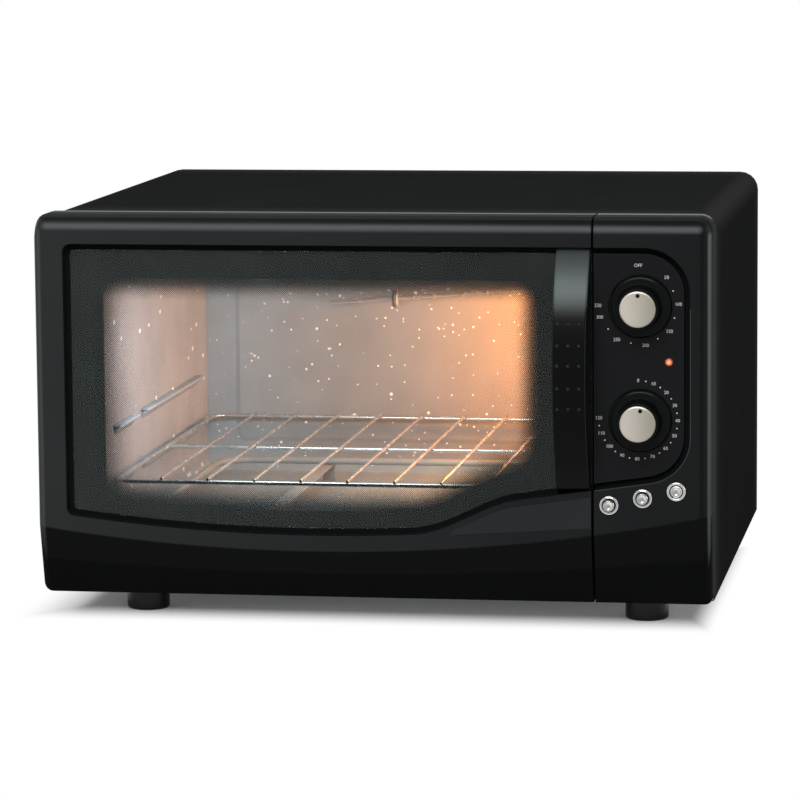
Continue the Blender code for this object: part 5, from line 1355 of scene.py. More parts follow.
@dataclass(frozen=True)
class Door:
    """Door: moulded frame, two panes, the dotted print, the bowed handle and the inner panel."""

    depth: float = 40.0
    hinge_round: float = 8.0
    window_margin: float = 17.4
    window_right: float = 150.0
    window_corner: float = 12.0
    wall: float = 3.0
    panel_rim: float = 1.5
    panel_seat: float = 1.3
    hinge_stile: float = 28.0
    hinge_x: float = -281.0
    hinge_depth: float = 28.0
    hinge_heights: tuple[float, float] = (335.0, 60.0)
    handle_left: float = 159.4
    handle_width: float = 28.5
    handle_foot: float = 4.7
    handle_bow: float = 36.7
    handle_thickness: float = 6.0
    handle_top: float = 336.2
    handle_edge: float = 1.9
    handle_spare: float = 1.12
    handle_steps: int = 48
    plate_span: tuple[float, float] = (72.0, 188.6)
    plate_drop: float = 5.4
    pit_columns: tuple[float, ...] = (163.9, 173.0, 182.2)
    pit_rows: tuple[float, ...] = (276.5, 258.2, 241.4, 222.2, 204.7)
    pit_radius: float = 2.3
    pit_lift: float = 1.4
    slot_front: float = 9.3
    slot_half: float = 2.05
    slot_right: float = 5.3
    bore_radius: float = 2.8
    bore_half: float = 10.6
    edge_round: float = 0.7
    print_depth: float = 9.12
    print_step: float = 4.0
    print_across: tuple[float, float] = (-256.0, 188.0)
    print_up: tuple[float, float] = (92.0, 330.0)
    clear: tuple[float, float, float] = (-202.0, 121.5, 287.5)
    fade: tuple[float, float, float] = (38.0, 19.0, 18.0)
    low_clear: tuple[float, float] = (44.0, 53.0)
    low_fade: tuple[float, float] = (22.5, 28.0)

    def build(self) -> None:
        """Make every piece of the door."""
        self.frame_shell()
        self.groove_lining()
        self.outer_pane()
        self.print_film()
        self.handle()
        self.accent_plate()
        self.inner_side()

    def frame_shell(self) -> None:
        """Moulded frame with its glass pocket, S-shaped window and hollow back."""
        lines = LINES
        mesh = lines.moulding(lines.left, lines.door_right, self.depth, self.hinge_round)
        rear = self.depth + BEYOND
        pocket = lines.door_outline(0.0, lines.door_right + BEYOND, lines.groove_corner)
        mesh = carved(mesh, slab(pocket, -BEYOND, lines.groove_depth))
        corner = self.window_corner
        window = lines.door_outline(self.window_margin, self.window_right, corner, corner)
        mesh = carved(mesh, slab(window, 0.0, rear))
        mesh = softened(cleaned(mesh), self.edge_round, segments=3,
                        choose=lambda edge: max(vert.co.y for vert in edge.verts) < 1.2
                        and edge.verts[0].co.x < lines.door_right - 0.5)
        left, right = lines.left + self.hinge_stile, lines.door_right - self.wall
        top, bottom = lines.top - self.wall, lines.bottom + self.wall
        step = max(lines.step_height(left, lines.left), lines.step_height(right, lines.left))
        mesh = carved(mesh, block((left, lines.hollow, step), (right, rear, top)))
        mesh = carved(mesh, block((left, lines.setback + self.wall, bottom), (right, rear, step + self.wall)))
        rim = self.panel_rim
        mesh = carved(mesh, block((left - rim, self.depth - self.panel_seat, bottom - rim),
                                  (right + rim, rear, top + rim)))
        slots = [block((lines.left - BEYOND, self.hinge_depth - self.slot_front, height - self.slot_half),
                       (self.hinge_x + self.slot_right, rear, height + self.slot_half))
                 for height in self.hinge_heights]
        mesh = carved(mesh, joined(slots))
        pin = circle(self.hinge_x, self.hinge_depth, self.bore_radius)
        bores = [slab(pin, height - self.bore_half, height + self.bore_half, Axis.UP)
                 for height in self.hinge_heights]
        mesh = carved(mesh, joined(bores))
        publish("door_frame_shell", mesh, CHARCOAL, Body.DOOR, ("door_frame",))

    def groove_lining(self) -> None:
        """Thin black lining of the groove round the pane."""
        lines = LINES
        walls = [lines.door_outline(margin, lines.door_right - 0.6, lines.groove_corner)
                 for margin in LINING_WALL]
        core = lines.door_outline(lines.groove_width - 0.2, 210.0, 3.0)
        lining("door_groove_lining", *walls, core, Body.DOOR)

    def outer_pane(self) -> None:
        """Outer pane with ground edges."""
        outline = LINES.door_outline(LINES.groove_width, LINES.door_right - 0.3, 3.0)
        mesh = softened(slab(outline, 5.0, 9.0), 0.5)
        publish("door_outer_pane", mesh, DOOR_GLASS, Body.DOOR, ("door_glass",))

    def cover(self, x: float, z: float) -> float:
        """How much of the print is left at a point.

        Args:
            x: The point's place across the front.
            z: Its height.

        Returns:
            Share from 0 in the clear window to 1.
        """
        left, right, high = self.clear
        rise = min(1.0, max(0.0, (x - LINES.rise_start) / (LINES.rise_end - LINES.rise_start)))
        low = LINES.groove_floor(x) + self.low_clear[0] + (self.low_clear[1] - self.low_clear[0]) * rise
        reach = self.low_fade[0] + (self.low_fade[1] - self.low_fade[0]) * rise
        beside = max(0.0, (left - x) / self.fade[0], (x - right) / self.fade[1])
        beyond = max(0.0, (low - z) / reach, (z - high) / self.fade[2])
        return min(1.0, math.hypot(beside, beyond))

    def print_film(self) -> None:
        """Black print behind the outer pane, whose cover value breaks it into dots at the window."""
        outline = LINES.door_outline(LINES.groove_width + 0.8, LINES.door_right - 1.0, 3.0)
        mesh = bmesh.new()
        mesh.faces.new([mesh.verts.new((point.x, self.print_depth, point.y)) for point in outline])
        if mesh.faces[:][0].normal.y > 0:
            bmesh.ops.reverse_faces(mesh, faces=mesh.faces)
        for axis, (low, high) in ((Vector((1, 0, 0)), self.print_across), (Vector((0, 0, 1)), self.print_up)):
            level = low
            while level < high:
                bmesh.ops.bisect_plane(mesh, geom=mesh.verts[:] + mesh.edges[:] + mesh.faces[:],
                                       plane_co=axis * level, plane_no=axis)
                level += self.print_step
        layer = mesh.verts.layers.float.new("cover")
        for vert in mesh.verts:
            vert[layer] = self.cover(vert.co.x, vert.co.z)
        publish("door_print", mesh, PRINT, Body.DOOR)

    def handle(self) -> None:
        """Flat strip bowed out over the glass, rounded along its edges and dimpled for grip."""
        left, right = self.handle_left, self.handle_left + self.handle_width
        low = LINES.groove_floor(left) + 0.8
        middle, half = (self.handle_top + low) / 2, (self.handle_top - low) / 2
        radius = (half ** 2 + self.handle_bow ** 2) / (2 * self.handle_bow)
        centre = self.handle_foot - self.handle_bow + radius
        inner = radius - self.handle_thickness
        section = box_outline(left, right, inner, radius, self.handle_edge)
        reach = math.acos((centre - self.handle_foot) / radius) * self.handle_spare
        rings = []
        for step in range(self.handle_steps + 1):
            turn = reach * (2 * step / self.handle_steps - 1)
            rings.append([Vector((spot.x, centre - spot.y * math.cos(turn), middle + spot.y * math.sin(turn)))
                          for spot in section])
        mesh = loft(rings)
        slope = Vector((LINES.shelf_slope, 0, -1)).normalized()
        cuts = ((Vector((0, self.handle_foot, 0)), Vector((0, 1, 0))),
                (Vector((left, 0, low)), slope), (Vector((0, 0, self.handle_top)), Vector((0, 0, 1))))
        for place, normal in cuts:
            trimmed(mesh, place, normal)
        bmesh.ops.recalc_face_normals(mesh, faces=mesh.faces)
        pits = []
        for x in self.pit_columns:
            for z in self.pit_rows:
                turn = math.asin((z - middle) / radius)
                pit = bmesh.new()
                bmesh.ops.create_icosphere(pit, subdivisions=3, radius=self.pit_radius)
                place = (x, centre - (radius + self.pit_lift) * math.cos(turn), z)
                pits.append(stood(pit, place, Facing.UP))
        mesh = carved(mesh, joined(pits))
        finish = GripSkin("grip_black_plastic", (0.0004, 0.0005, 0.0005), 0.25, 0.08, depth=0.000001,
                          bow=(centre * MM + FACE_Y, middle * MM, radius * MM))
        publish("door_grip", mesh, finish, Body.DOOR, ("door_handle",))

    def accent_plate(self) -> None:
        """Thin plate that follows the groove's rise on the frame's lower right."""
        xs = [*evenly(*self.plate_span, 24), self.plate_span[1]]
        top = [Vector((x, LINES.groove_floor(x) - self.plate_drop)) for x in xs]
        foot = [Vector((x, min(93.4 + (x - 92.0) * 0.064, 99.6))) for x in (188.6, 160.0, 129.0, 95.0)]
        outline = [Vector((67.5, 91.4))] + top + foot
        mesh = softened(slab(outline, -0.35, 0.6), 0.25)
        publish("door_accent_plate", mesh, PLATE, Body.DOOR)

    def inner_side(self) -> None:
        """Inner panel, inner pane and striker."""
        eased("door_back_panel", "door_inner_panel", PAINT, Body.DOOR, 0.3)
        eased("door_inner_pane", "door_inner_glass", INNER_GLASS, Body.DOOR, 0.3)
        eased("door_tongue", "door_striker", ZINC, Body.DOOR, 0.3)


@dataclass(frozen=True)
class Fascia:
    """Control panel: moulding with its island, dial prints, pilot lens and button bezels."""

    depth: float = 43.0
    wall: float = 3.0
    knob_x: float = 230.0
    dials: tuple[float, float] = (287.544, 191.44)
    pilot: tuple[float, float] = (254.0, 240.968)
    buttons: tuple[tuple[float, float], ...] = ((204.0, 119.805), (232.313, 126.082), (260.625, 132.358))
    shaft_hole: float = 4.5
    lens_hole: float = 2.9
    bezel_hole: float = 6.7
    low_wall: float = 6.0
    top_wall: float = 9.0
    edge_round: float = 0.7
    print_lift: float = 0.14
    dot_radius: float = 0.62
    number_radius: float = 33.2
    number_size: float = 4.0
    print_shift: tuple[float, float] = (-1.9, 0.5)
    temperature_out: float = 0.6
    temperature_in: float = 1.2
    temperature_dots: tuple[float, ...] = (66.5, 108.0, 149.0, 191.0, 232.0)
    timer_turn: float = 272.0
    timer_steps: int = 12
    button_travel: float = 3.0
    latched_button: int = 3

    def build(self) -> None:
        """Make every piece of the fascia."""
        self.shell()
        self.groove_lining()
        self.groove_lip()
        self.island_face()
        self.button_plate()
        self.temperature_print()
        self.timer_print()
        self.lens()
        self.bezels()

    def shell(self) -> None:
        """Moulding with the grooved island, the holes and the hollow back."""
        lines = LINES
        mesh = lines.moulding(lines.right, lines.panel_left, self.depth, 0.0)
        start = lines.seam - BEYOND - lines.groove_width
        outer = lines.panel_outline(0.0, start)
        inner = lines.panel_outline(lines.groove_width, start + lines.groove_width / 2)
        mesh = carved(mesh, slab(outer, -BEYOND, lines.island_depth))
        channel = carved(slab(outer, 0.0, lines.groove_depth), slab(inner, -3.0, lines.groove_depth + 3.0))
        mesh = carved(mesh, channel)
        mesh = softened(cleaned(mesh), self.edge_round, segments=3,
                        choose=lambda edge: max(vert.co.y for vert in edge.verts) < 5.2
                        and min(vert.co.x for vert in edge.verts) > lines.panel_left + 0.5)
        left, right, rear = lines.panel_left + self.wall, lines.right - self.wall, self.depth + BEYOND
        step = lines.step_height(right, lines.right)
        mesh = carved(mesh, block((left, lines.hollow, step), (right, rear, lines.top - self.top_wall)))
        front = lines.setback + edge_drop(lines.side_round, self.wall) + self.wall
        low = lines.bottom + self.low_wall
        mesh = carved(mesh, block((left, front, low), (right, rear, step + self.wall)))
        holes = [circle(self.knob_x, height, self.shaft_hole) for height in self.dials]
        holes.append(circle(*self.pilot, self.lens_hole))
        holes += [circle(x, z, self.bezel_hole) for x, z in self.buttons]
        mesh = carved(mesh, joined([slab(hole, -BEYOND, lines.hollow + BEYOND) for hole in holes]))
        publish("fascia_shell", mesh, CHARCOAL, Body.CASE, ("control_panel",))

    def groove_lining(self) -> None:
        """Thin black lining of the channel round the island."""
        lines = LINES
        walls = [lines.panel_outline(margin, lines.panel_left + 0.4) for margin in LINING_WALL]
        core = lines.panel_outline(lines.groove_width - 0.2, 170.0)
        lining("fascia_groove_lining", *walls, core, Body.CASE)

    def groove_lip(self) -> None:
        """Fine pale strip along the channel's right side and foot: a painted highlight on its edge."""
        lines = LINES
        mesh = carved(slab(lines.panel_outline(-0.75, lines.panel_left + 0.8), -0.14, 0.9),
                      slab(lines.panel_outline(0.05, 170.0), -2.0, 3.0))
        mesh = softened(trimmed(mesh, (0, 0, 286.0), (0, 0, 1)), 0.1, segments=1)
        publish("fascia_groove_highlight", mesh, LIP_HIGHLIGHT, Body.CASE)

    def island_face(self) -> None:
        """Thin black overlay on the island, which carries the prints."""
        lines = LINES
        outline = lines.panel_outline(lines.groove_width + 1.1, lines.panel_left + 1.4)
        mesh = slab(outline, lines.island_depth - 0.12, lines.island_depth + 0.3)
        holes = [circle(self.knob_x, height, 4.6) for height in self.dials] + [circle(*self.pilot, 3.0)]
        mesh = carved(mesh, joined([slab(hole, 0.0, 12.0) for hole in holes]))
        publish("fascia_overlay", mesh, ISLAND, Body.CASE)

    def button_plate(self) -> None:
        """Thin plate under the buttons, which hugs the groove's lower edge."""
        xs = evenly(193.2, 268.0, 20)
        outer = LINES.panel_outline(-1.3, 180.0)
        hug = [point for point in outer if point.x > 193.0 and point.y < 172.0]
        hug = [Vector((x, LINES.groove_floor(x) - 1.3)) for x in xs if x < hug[0].x] + hug
        lower = rounded([(274.8, 172.0), (274.8, 117.2, 5.0), (193.2, 104.5, 2.0), (193.2, 106.0)], 6, False)
        outline = hug + lower[1:]
        mesh = softened(slab(outline, -0.3, 0.6), 0.22)
        holes = [slab(circle(x, z, 6.8), -2.0, 3.0) for x, z in self.buttons]
        mesh = carved(mesh, joined(holes))
        publish("button_plate", mesh, CHARCOAL, Body.CASE)

    def numeral(self, text: str, height: float, place: Sequence[float]) -> Shape:
        """Printed number, centred on its place.

        Args:
            text: What is printed.
            height: Height of its type.
            place: The (x, z) of its middle.

        Returns:
            The mesh, a hair thick.
        """
        curve = bpy.data.curves.new("numeral", "FONT")
        curve.body = text
        curve.size = height
        curve.align_x = "CENTER"
        curve.align_y = "CENTER"
        curve.resolution_u = 3
        holder = placed("numeral", curve)
        bpy.context.view_layer.update()
        mesh = bmesh.new()
        mesh.from_mesh(holder.to_mesh())
        holder.to_mesh_clear()
        bpy.data.objects.remove(holder)
        bpy.data.curves.remove(curve)
        return stood(mesh, (place[0], LINES.island_depth - self.print_lift, place[1]))

    def dot(self, place: Sequence[float]) -> Shape:
        """Printed dot.

        Args:
            place: The (x, z) of its middle.

        Returns:
            The mesh, a hair thick.
        """
        mesh = bmesh.new()
        bmesh.ops.create_circle(mesh, cap_ends=True, segments=14, radius=self.dot_radius)
        return stood(mesh, (place[0], LINES.island_depth - self.print_lift, place[1]))

    def around(self, height: float, degrees: float, radius: float) -> tuple[float, float]:
        """Place beside a dial.

        Args:
            height: Height of the dial's middle.
            degrees: Angle clockwise from the dial's top.
            radius: Distance from the print's middle.

        Returns:
            The place's (x, z).
        """
        turn = math.radians(degrees)
        middle = self.knob_x + self.print_shift[0], height + self.print_shift[1]
        return middle[0] + radius * math.sin(turn), middle[1] + radius * math.cos(turn)

    def temperature_print(self) -> None:
        """Numbers and dots round the upper dial."""
        height = self.dials[0]
        marks = {0.0: "OFF", 45.0: "50", 87.5: "100", 129.0: "150", 169.5: "200", 212.0: "250",
                 253.0: "300", 270.0: "320"}
        outside, inside = self.number_radius + self.temperature_out, self.number_radius - self.temperature_in
        parts = [self.numeral(text, self.number_size, self.around(height, turn, outside))
                 for turn, text in marks.items()]
        parts += [self.dot(self.around(height, turn, inside)) for turn in self.temperature_dots]
        publish("temperature_marks", joined(parts), INK, Body.CASE)

    def timer_print(self) -> None:
        """Numbers and dots round the lower dial."""
        height = self.dials[1]
        pitch = self.timer_turn / self.timer_steps
        parts = [self.numeral(str(step * 10), self.number_size,
                              self.around(height, step * pitch, self.number_radius))
                 for step in range(self.timer_steps + 1)]
        parts += [self.dot(self.around(height, (step + 0.5) * pitch, self.number_radius))
                  for step in range(self.timer_steps)]
        publish("timer_marks", joined(parts), INK, Body.CASE)

    def lens(self) -> None:
        """Lit pilot lens, domed in front."""
        profile = rounded([(0, 1.6), (2.4, 1.5, 1.0), (3.4, 0.7, 0.5), (3.4, 0.3), (2.6, 0.3), (2.6, -7.3),
                           (0, -7.3)], 5, False)
        mesh = stood(lathe(profile, steps=40), (self.pilot[0], LINES.island_depth, self.pilot[1]))
        publish("pilot_light", mesh, AMBER, Body.CASE, ("pilot_lens",))

    def bezels(self) -> None:
        """Chrome bezels and the three plungers inside them, of which the third is latched in."""
        crown = [(6.9 - 1.3 * math.cos(turn), 0.5 + 1.5 * math.sin(turn))
                 for turn in (math.pi * step / 12 for step in range(13))]
        bezel = [Vector(point) for point in [*crown, (8.2, 0.3), (6.4, 0.3), (6.4, -7.0), (5.6, -7.0)]]
        bodies = (Body.BUTTON_ONE, Body.BUTTON_TWO, Body.BUTTON_THREE)
        for index, ((x, z), body) in enumerate(zip(self.buttons, bodies), start=1):
            latched = self.button_travel if index == self.latched_button else 0.0
            ring = stood(lathe(bezel, closed=True), (x, 0.0, z))
            publish(f"button_{index}_bezel", ring, CHROME, Body.CASE, (f"bezel_{index}",))
            plunger = rounded([(0, 4.7), (1.6, 4.8, 1.2), (3.1, 5.4, 0.6), (3.7, 5.6, 0.4), (4.3, 5.5, 0.5),
                               (5.1, 4.4, 0.5), (5.1, -3.4), (2.4, -3.4), (2.4, -17.6), (0, -17.6)], 4, False)
            publish(f"button_{index}_plunger", stood(lathe(plunger), (x, latched, z)), CHROME, body,
                    (f"button_{index}",))


@dataclass(frozen=True)
class Knob:
    """Turning knob: stepped gloss skirt, hub, spun cap and its black pointer."""

    name: str
    body: Body
    height: float
    pointer: float
    x: float = 230.0
    base: float = 4.4
    cap_face: float = 24.6
    pointer_radius: float = 11.4
    pit_radius: float = 1.75
    pit_depth: float = 1.4
    filling_depth: float = 0.62

    def build(self) -> None:
        """Make the knob's pieces."""
        skirt = rounded([(0, 22.8), (15.5, 22.8), (15.5, 24.0, 0.2), (17.0, 24.0, 0.6), (18.4, 5.6, 0.8),
                         (19.3, 4.5, 0.6), (22.4, 4.5), (23.9, 4.2), (25.1, 3.6), (26.1, 2.6), (26.7, 1.3),
                         (26.8, 0.0), (16.6, 0.0), (16.6, 20.8), (6.0, 20.8), (6.0, 0.0), (3.3, 0.0),
                         (3.3, 15.3), (0, 15.3)], 6, False)
        place = (self.x, self.base, self.height)
        publish(f"{self.name}_grip", stood(lathe(skirt, steps=96), place), SKIRT_BLACK, self.body,
                (f"{self.name}_knob",))
        cap = rounded([(0, 24.5), (14.0, 24.7, 0.6), (15.2, 23.9, 0.5), (15.2, 23.1), (0, 23.1)], 5, False)
        turn = math.radians(self.pointer)
        spot = (self.x + self.pointer_radius * math.sin(turn), self.base - self.cap_face,
                self.height + self.pointer_radius * math.cos(turn))
        pit = bmesh.new()
        bmesh.ops.create_cone(pit, cap_ends=True, segments=24, radius1=self.pit_radius,
                              radius2=self.pit_radius, depth=self.pit_depth)
        mesh = carved(stood(lathe(cap, steps=96), place), stood(pit, spot))
        centre = (self.x * MM, FACE_Y, self.height * MM)
        publish(f"{self.name}_disc", mesh, SpunMetal(f"spun_{self.name}_disc", centre), self.body,
                (f"{self.name}_knob_cap",))
        dot = rounded([(0, 0.5), (1.1, 0.5, 0.4), (1.7, 0.1, 0.2), (1.7, 0.0), (0, 0.0)], 4, False)
        filling = (spot[0], spot[1] + self.filling_depth, spot[2])
        publish(f"{self.name}_pointer", stood(lathe(dot, steps=24), filling), GLOSS_BLACK, self.body)


@dataclass(frozen=True)
class OvenBox:
    """Oven box and what is in it: enamel liner, rack, heaters, lamp and thermostat bulb."""

    rack_left: float = -233.4
    rack_right: float = 135.4
    rack_front: float = 54.6
    rack_back: float = 478.0
    rack_height: float = 125.0
    rack_corner: float = 12.0
    rack_radius: float = 1.9
    cross_radius: float = 1.7
    wire_radius: float = 1.3
    wire_rise: float = 2.9
    wire_overhang: float = 1.6
    wires: int = 8
    heater_heights: tuple[float, float] = (90.0, 300.0)
    heater_front: float = 119.6
    heater_back: float = 425.0
    heater_far: float = -215.0
    heater_end: float = 200.0
    heater_bend: float = 32.0
    heater_radius: float = 3.25
    lamp: tuple[float, float, float] = (145.0, 379.0, 250.0)
    probe_radius: float = 2.0
    collar_gap: float = 1.8
    walls: tuple[float, float] = (-243.0, 145.0)
    ridge_tops: tuple[float, float] = (122.5, 169.0)
    ridge_span: tuple[float, float] = (85.0, 450.0)
    ridge_reach: float = 12.5
    ridge_height: float = 12.1
    ridge_flat: float = 0.2
    ridge_slim: float = 0.4
    press: tuple[float, float] = (485.5, 487.5)
    press_cut: float = 3.0

    def build(self) -> None:
        """Make every piece of the oven box."""
        self.liner()
        self.rack()
        self.heaters()
        self.oven_lamp()
        self.fittings()

    def liner(self) -> None:
        """Speckled enamel liner with a shallow pressed back and slim rack ridges."""
        mesh = copy_of_node("cavity")
        for vert in mesh.verts:
            spot = vert.co
            inward = min(spot.x - self.walls[0], self.walls[1] - spot.x)
            if self.press[0] < spot.y < self.press[1]:
                spot.y += self.press_cut
            beside = self.ridge_span[0] < spot.y < self.ridge_span[1] and -1.0 < inward < self.ridge_reach
            for top in self.ridge_tops:
                if beside and -self.ridge_height < spot.z - top < 0.1:
                    spot.z = top + (spot.z - top) * self.ridge_flat
                    if inward > 0.1:
                        spot.x += math.copysign(inward * self.ridge_slim, spot.x)
        softened(mesh, 0.9, 30.0, 3, lambda edge: edge.calc_length() > 0.4)
        publish("oven_liner", mesh, ENAMEL, Body.CASE, ("cavity",))

    def rack(self) -> None:
        """Wire rack: closed frame, long wires on it and one wire across."""
        outline = rounded([(self.rack_left, self.rack_front, self.rack_corner),
                           (self.rack_right, self.rack_front, self.rack_corner),
                           (self.rack_right, self.rack_back, self.rack_corner),
                           (self.rack_left, self.rack_back, self.rack_corner)], 8)
        loop = [raised(point, self.rack_height, Axis.UP) for point in outline]
        parts = [bar(loop, self.rack_radius, 16, True)]
        middle = (self.rack_front + self.rack_back) / 2
        parts.append(bar([Vector((self.rack_left, middle, self.rack_height)),
                          Vector((self.rack_right, middle, self.rack_height))], self.cross_radius))
        pitch = (self.rack_right - self.rack_left) / (self.wires + 1)
        for wire in range(self.wires):
            x, z = self.rack_left + pitch * (wire + 1), self.rack_height + self.wire_rise
            ends = (self.rack_front - self.wire_overhang, self.rack_back + self.wire_overhang)
            pin = bar([Vector((x, end, z)) for end in ends], self.wire_radius)
            parts.append(softened(pin, 0.5))
        publish("rack_wires", joined(parts), WIRE, Body.RACK, ("wire_rack",))

    def heaters(self) -> None:
        """U-bent sheathed heaters and their strips."""
        path = rounded([(self.heater_end, self.heater_front),
                        (self.heater_far, self.heater_front, self.heater_bend),
                        (self.heater_far, self.heater_back, self.heater_bend),
                        (self.heater_end, self.heater_back)], 12, False)
        dressed = (("lower", FIRED_SKIN, FIRED_SKIN), ("upper", HEATER_SKIN, STRAP))
        for (place, finish, strap), height in zip(dressed, self.heater_heights):
            tube = bar([raised(point, height, Axis.UP) for point in path], self.heater_radius, 18)
            mesh = softened(tube, 0.6)
            publish(f"{place}_heater_tube", mesh, finish, Body.CASE, (f"heater_{place}",))
            eased(f"{place}_heater_strip", f"heater_support_{place}", strap, Body.CASE, 0.2)

    def oven_lamp(self) -> None:
        """Glass dome with its rim, and the lit bulb with its cap."""
        dome = rounded([(0, 22.0), (10.0, 21.0, 5.0), (17.0, 14.0, 6.0), (17.0, 1.9), (24.0, 1.9, 0.5),
                        (24.0, 0.3), (15.4, 0.3), (15.4, 13.0, 5.0), (9.0, 19.4, 4.0), (0, 20.4)], 8, False)
        publish("lamp_dome", stood(lathe(dome, steps=48), self.lamp, Facing.LEFT), LAMP_DOME, Body.CASE,
                ("lamp_glass",))
        bulb = rounded([(0, 14.0), (10.0, 14.0, 9.5), (10.0, -3.0, 6.0), (7.0, -6.0, 1.0), (7.0, -27.8),
                        (0, -27.8)], 10, False)
        publish("lamp_globe", stood(lathe(bulb, steps=40), self.lamp, Facing.LEFT), BULB, Body.CASE,
                ("lamp_bulb",))
        eased("lamp_socket", "lamp_holder", PORCELAIN, Body.CASE, 0.5)

    def fittings(self) -> None:
        """Thermostat bulb, its dark collar and clip, and the gasket round the mouth."""
        clip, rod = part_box("bulb_clip"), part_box("thermostat_bulb")
        place = (clip[0].x / MM - self.collar_gap, (rod[0].y - FACE_Y) / MM + self.probe_radius,
                 (clip[0].z + clip[1].z) / 2 / MM)
        ring = [(2.2, -1.7), (7.4, -1.7), (8.6, -0.7), (8.6, 0.7), (7.4, 1.7), (2.2, 1.7)]
        collar = stood(softened(lathe(ring, closed=True, steps=40), 0.3, 30.0), place, Facing.LEFT)
        publish("probe_collar", collar, COLLAR, Body.CASE)
        eased("thermostat_probe", "thermostat_bulb", WIRE, Body.CASE, 0.4)
        eased("probe_clip", "bulb_clip", ZINC, Body.CASE, 0.2)
        eased("mouth_seal", "door_gasket", SILICONE, Body.CASE, 0.8)


@dataclass(frozen=True)
class Shell:
    """Steel body: casing, flange, rear and bottom panels, hinge steel, gland and feet."""

    foot_x: float = 223.0
    foot_depths: tuple[float, float] = (131.0, 460.0)

    def build(self) -> None:
        """Make every piece of the body's outside."""
        eased("casing_wrap", "outer_casing", CASING, Body.CASE, 0.35)
        eased("mouth_flange", "front_flange", PAINT, Body.CASE, 0.2)
        eased("back_panel", "rear_panel", ZINC, Body.CASE, 0.0, 10.0)
        eased("base_panel", "bottom_panel", ZINC, Body.CASE, 0.0, 10.0)
        eased("gland_ring", "cable_gland", GLOSS_BLACK, Body.CASE, 0.4)
        eased("catch_socket", "door_catch", GLOSS_BLACK, Body.CASE, 0.3)
        for end in ("top", "bottom"):
            eased(f"{end}_hinge_leaf", f"hinge_bracket_{end}", ZINC, Body.CASE, 0.2)
            eased(f"{end}_hinge_pivot", f"hinge_pin_{end}", ZINC, Body.CASE, 0.0)
        self.feet()

    def feet(self) -> None:
        """Round feet with a turned shoulder and a recess underneath."""
        profile = rounded([(0, 8.0), (5.0, 8.0), (5.0, 0.0, 0.6), (17.5, 0.0, 1.2), (19.0, 1.6, 1.2),
                           (18.9, 22.0, 0.8), (18.1, 22.6, 0.5), (18.0, 33.0), (0, 33.0)], 5, False)
        sides = {"left": -self.foot_x, "right": self.foot_x}
        for end, depth in zip(("front", "rear"), self.foot_depths):
            for side, x in sides.items():
                publish(f"{end}_{side}_pad", stood(lathe(profile), (x, depth, 0.0), Facing.UP), FOOT_BLACK,
                        Body.CASE, (f"foot_{end}_{side}",))


@dataclass(frozen=True)
class HiddenNodes:
    """CAD nodes that stay as they are and get their own finishes."""

    finishes: tuple[tuple[Finish, tuple[str, ...]], ...] = (
        (ZINC, ("partition", "control_bracket", "temperature_shaft", "timer_shaft")),
        (SWITCH_PLASTIC, ("thermostat_body", "timer_body", "pilot_lamp", "switch_1", "switch_2", "switch_3")),
        (PORCELAIN, ("terminal_block",)),
        (WOOL, ("insulation_wrap", "insulation_back")),
        (COPPER, ("capillary",)),
    )

    def build(self) -> None:
        """Give each node its finish."""
        for finish, nodes in self.finishes:
            for node in nodes:
                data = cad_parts[node].data
                data.materials.clear()
                data.materials.append(finish.material())


@dataclass(frozen=True)
class Softbox:
    """Rectangular soft lamp that looks at a point, in metres and watts."""

    name: str
    place: tuple[float, float, float]
    target: tuple[float, float, float]
    width: float
    height: float
    power: float
    colour: Colour = (1.0, 1.0, 1.0)


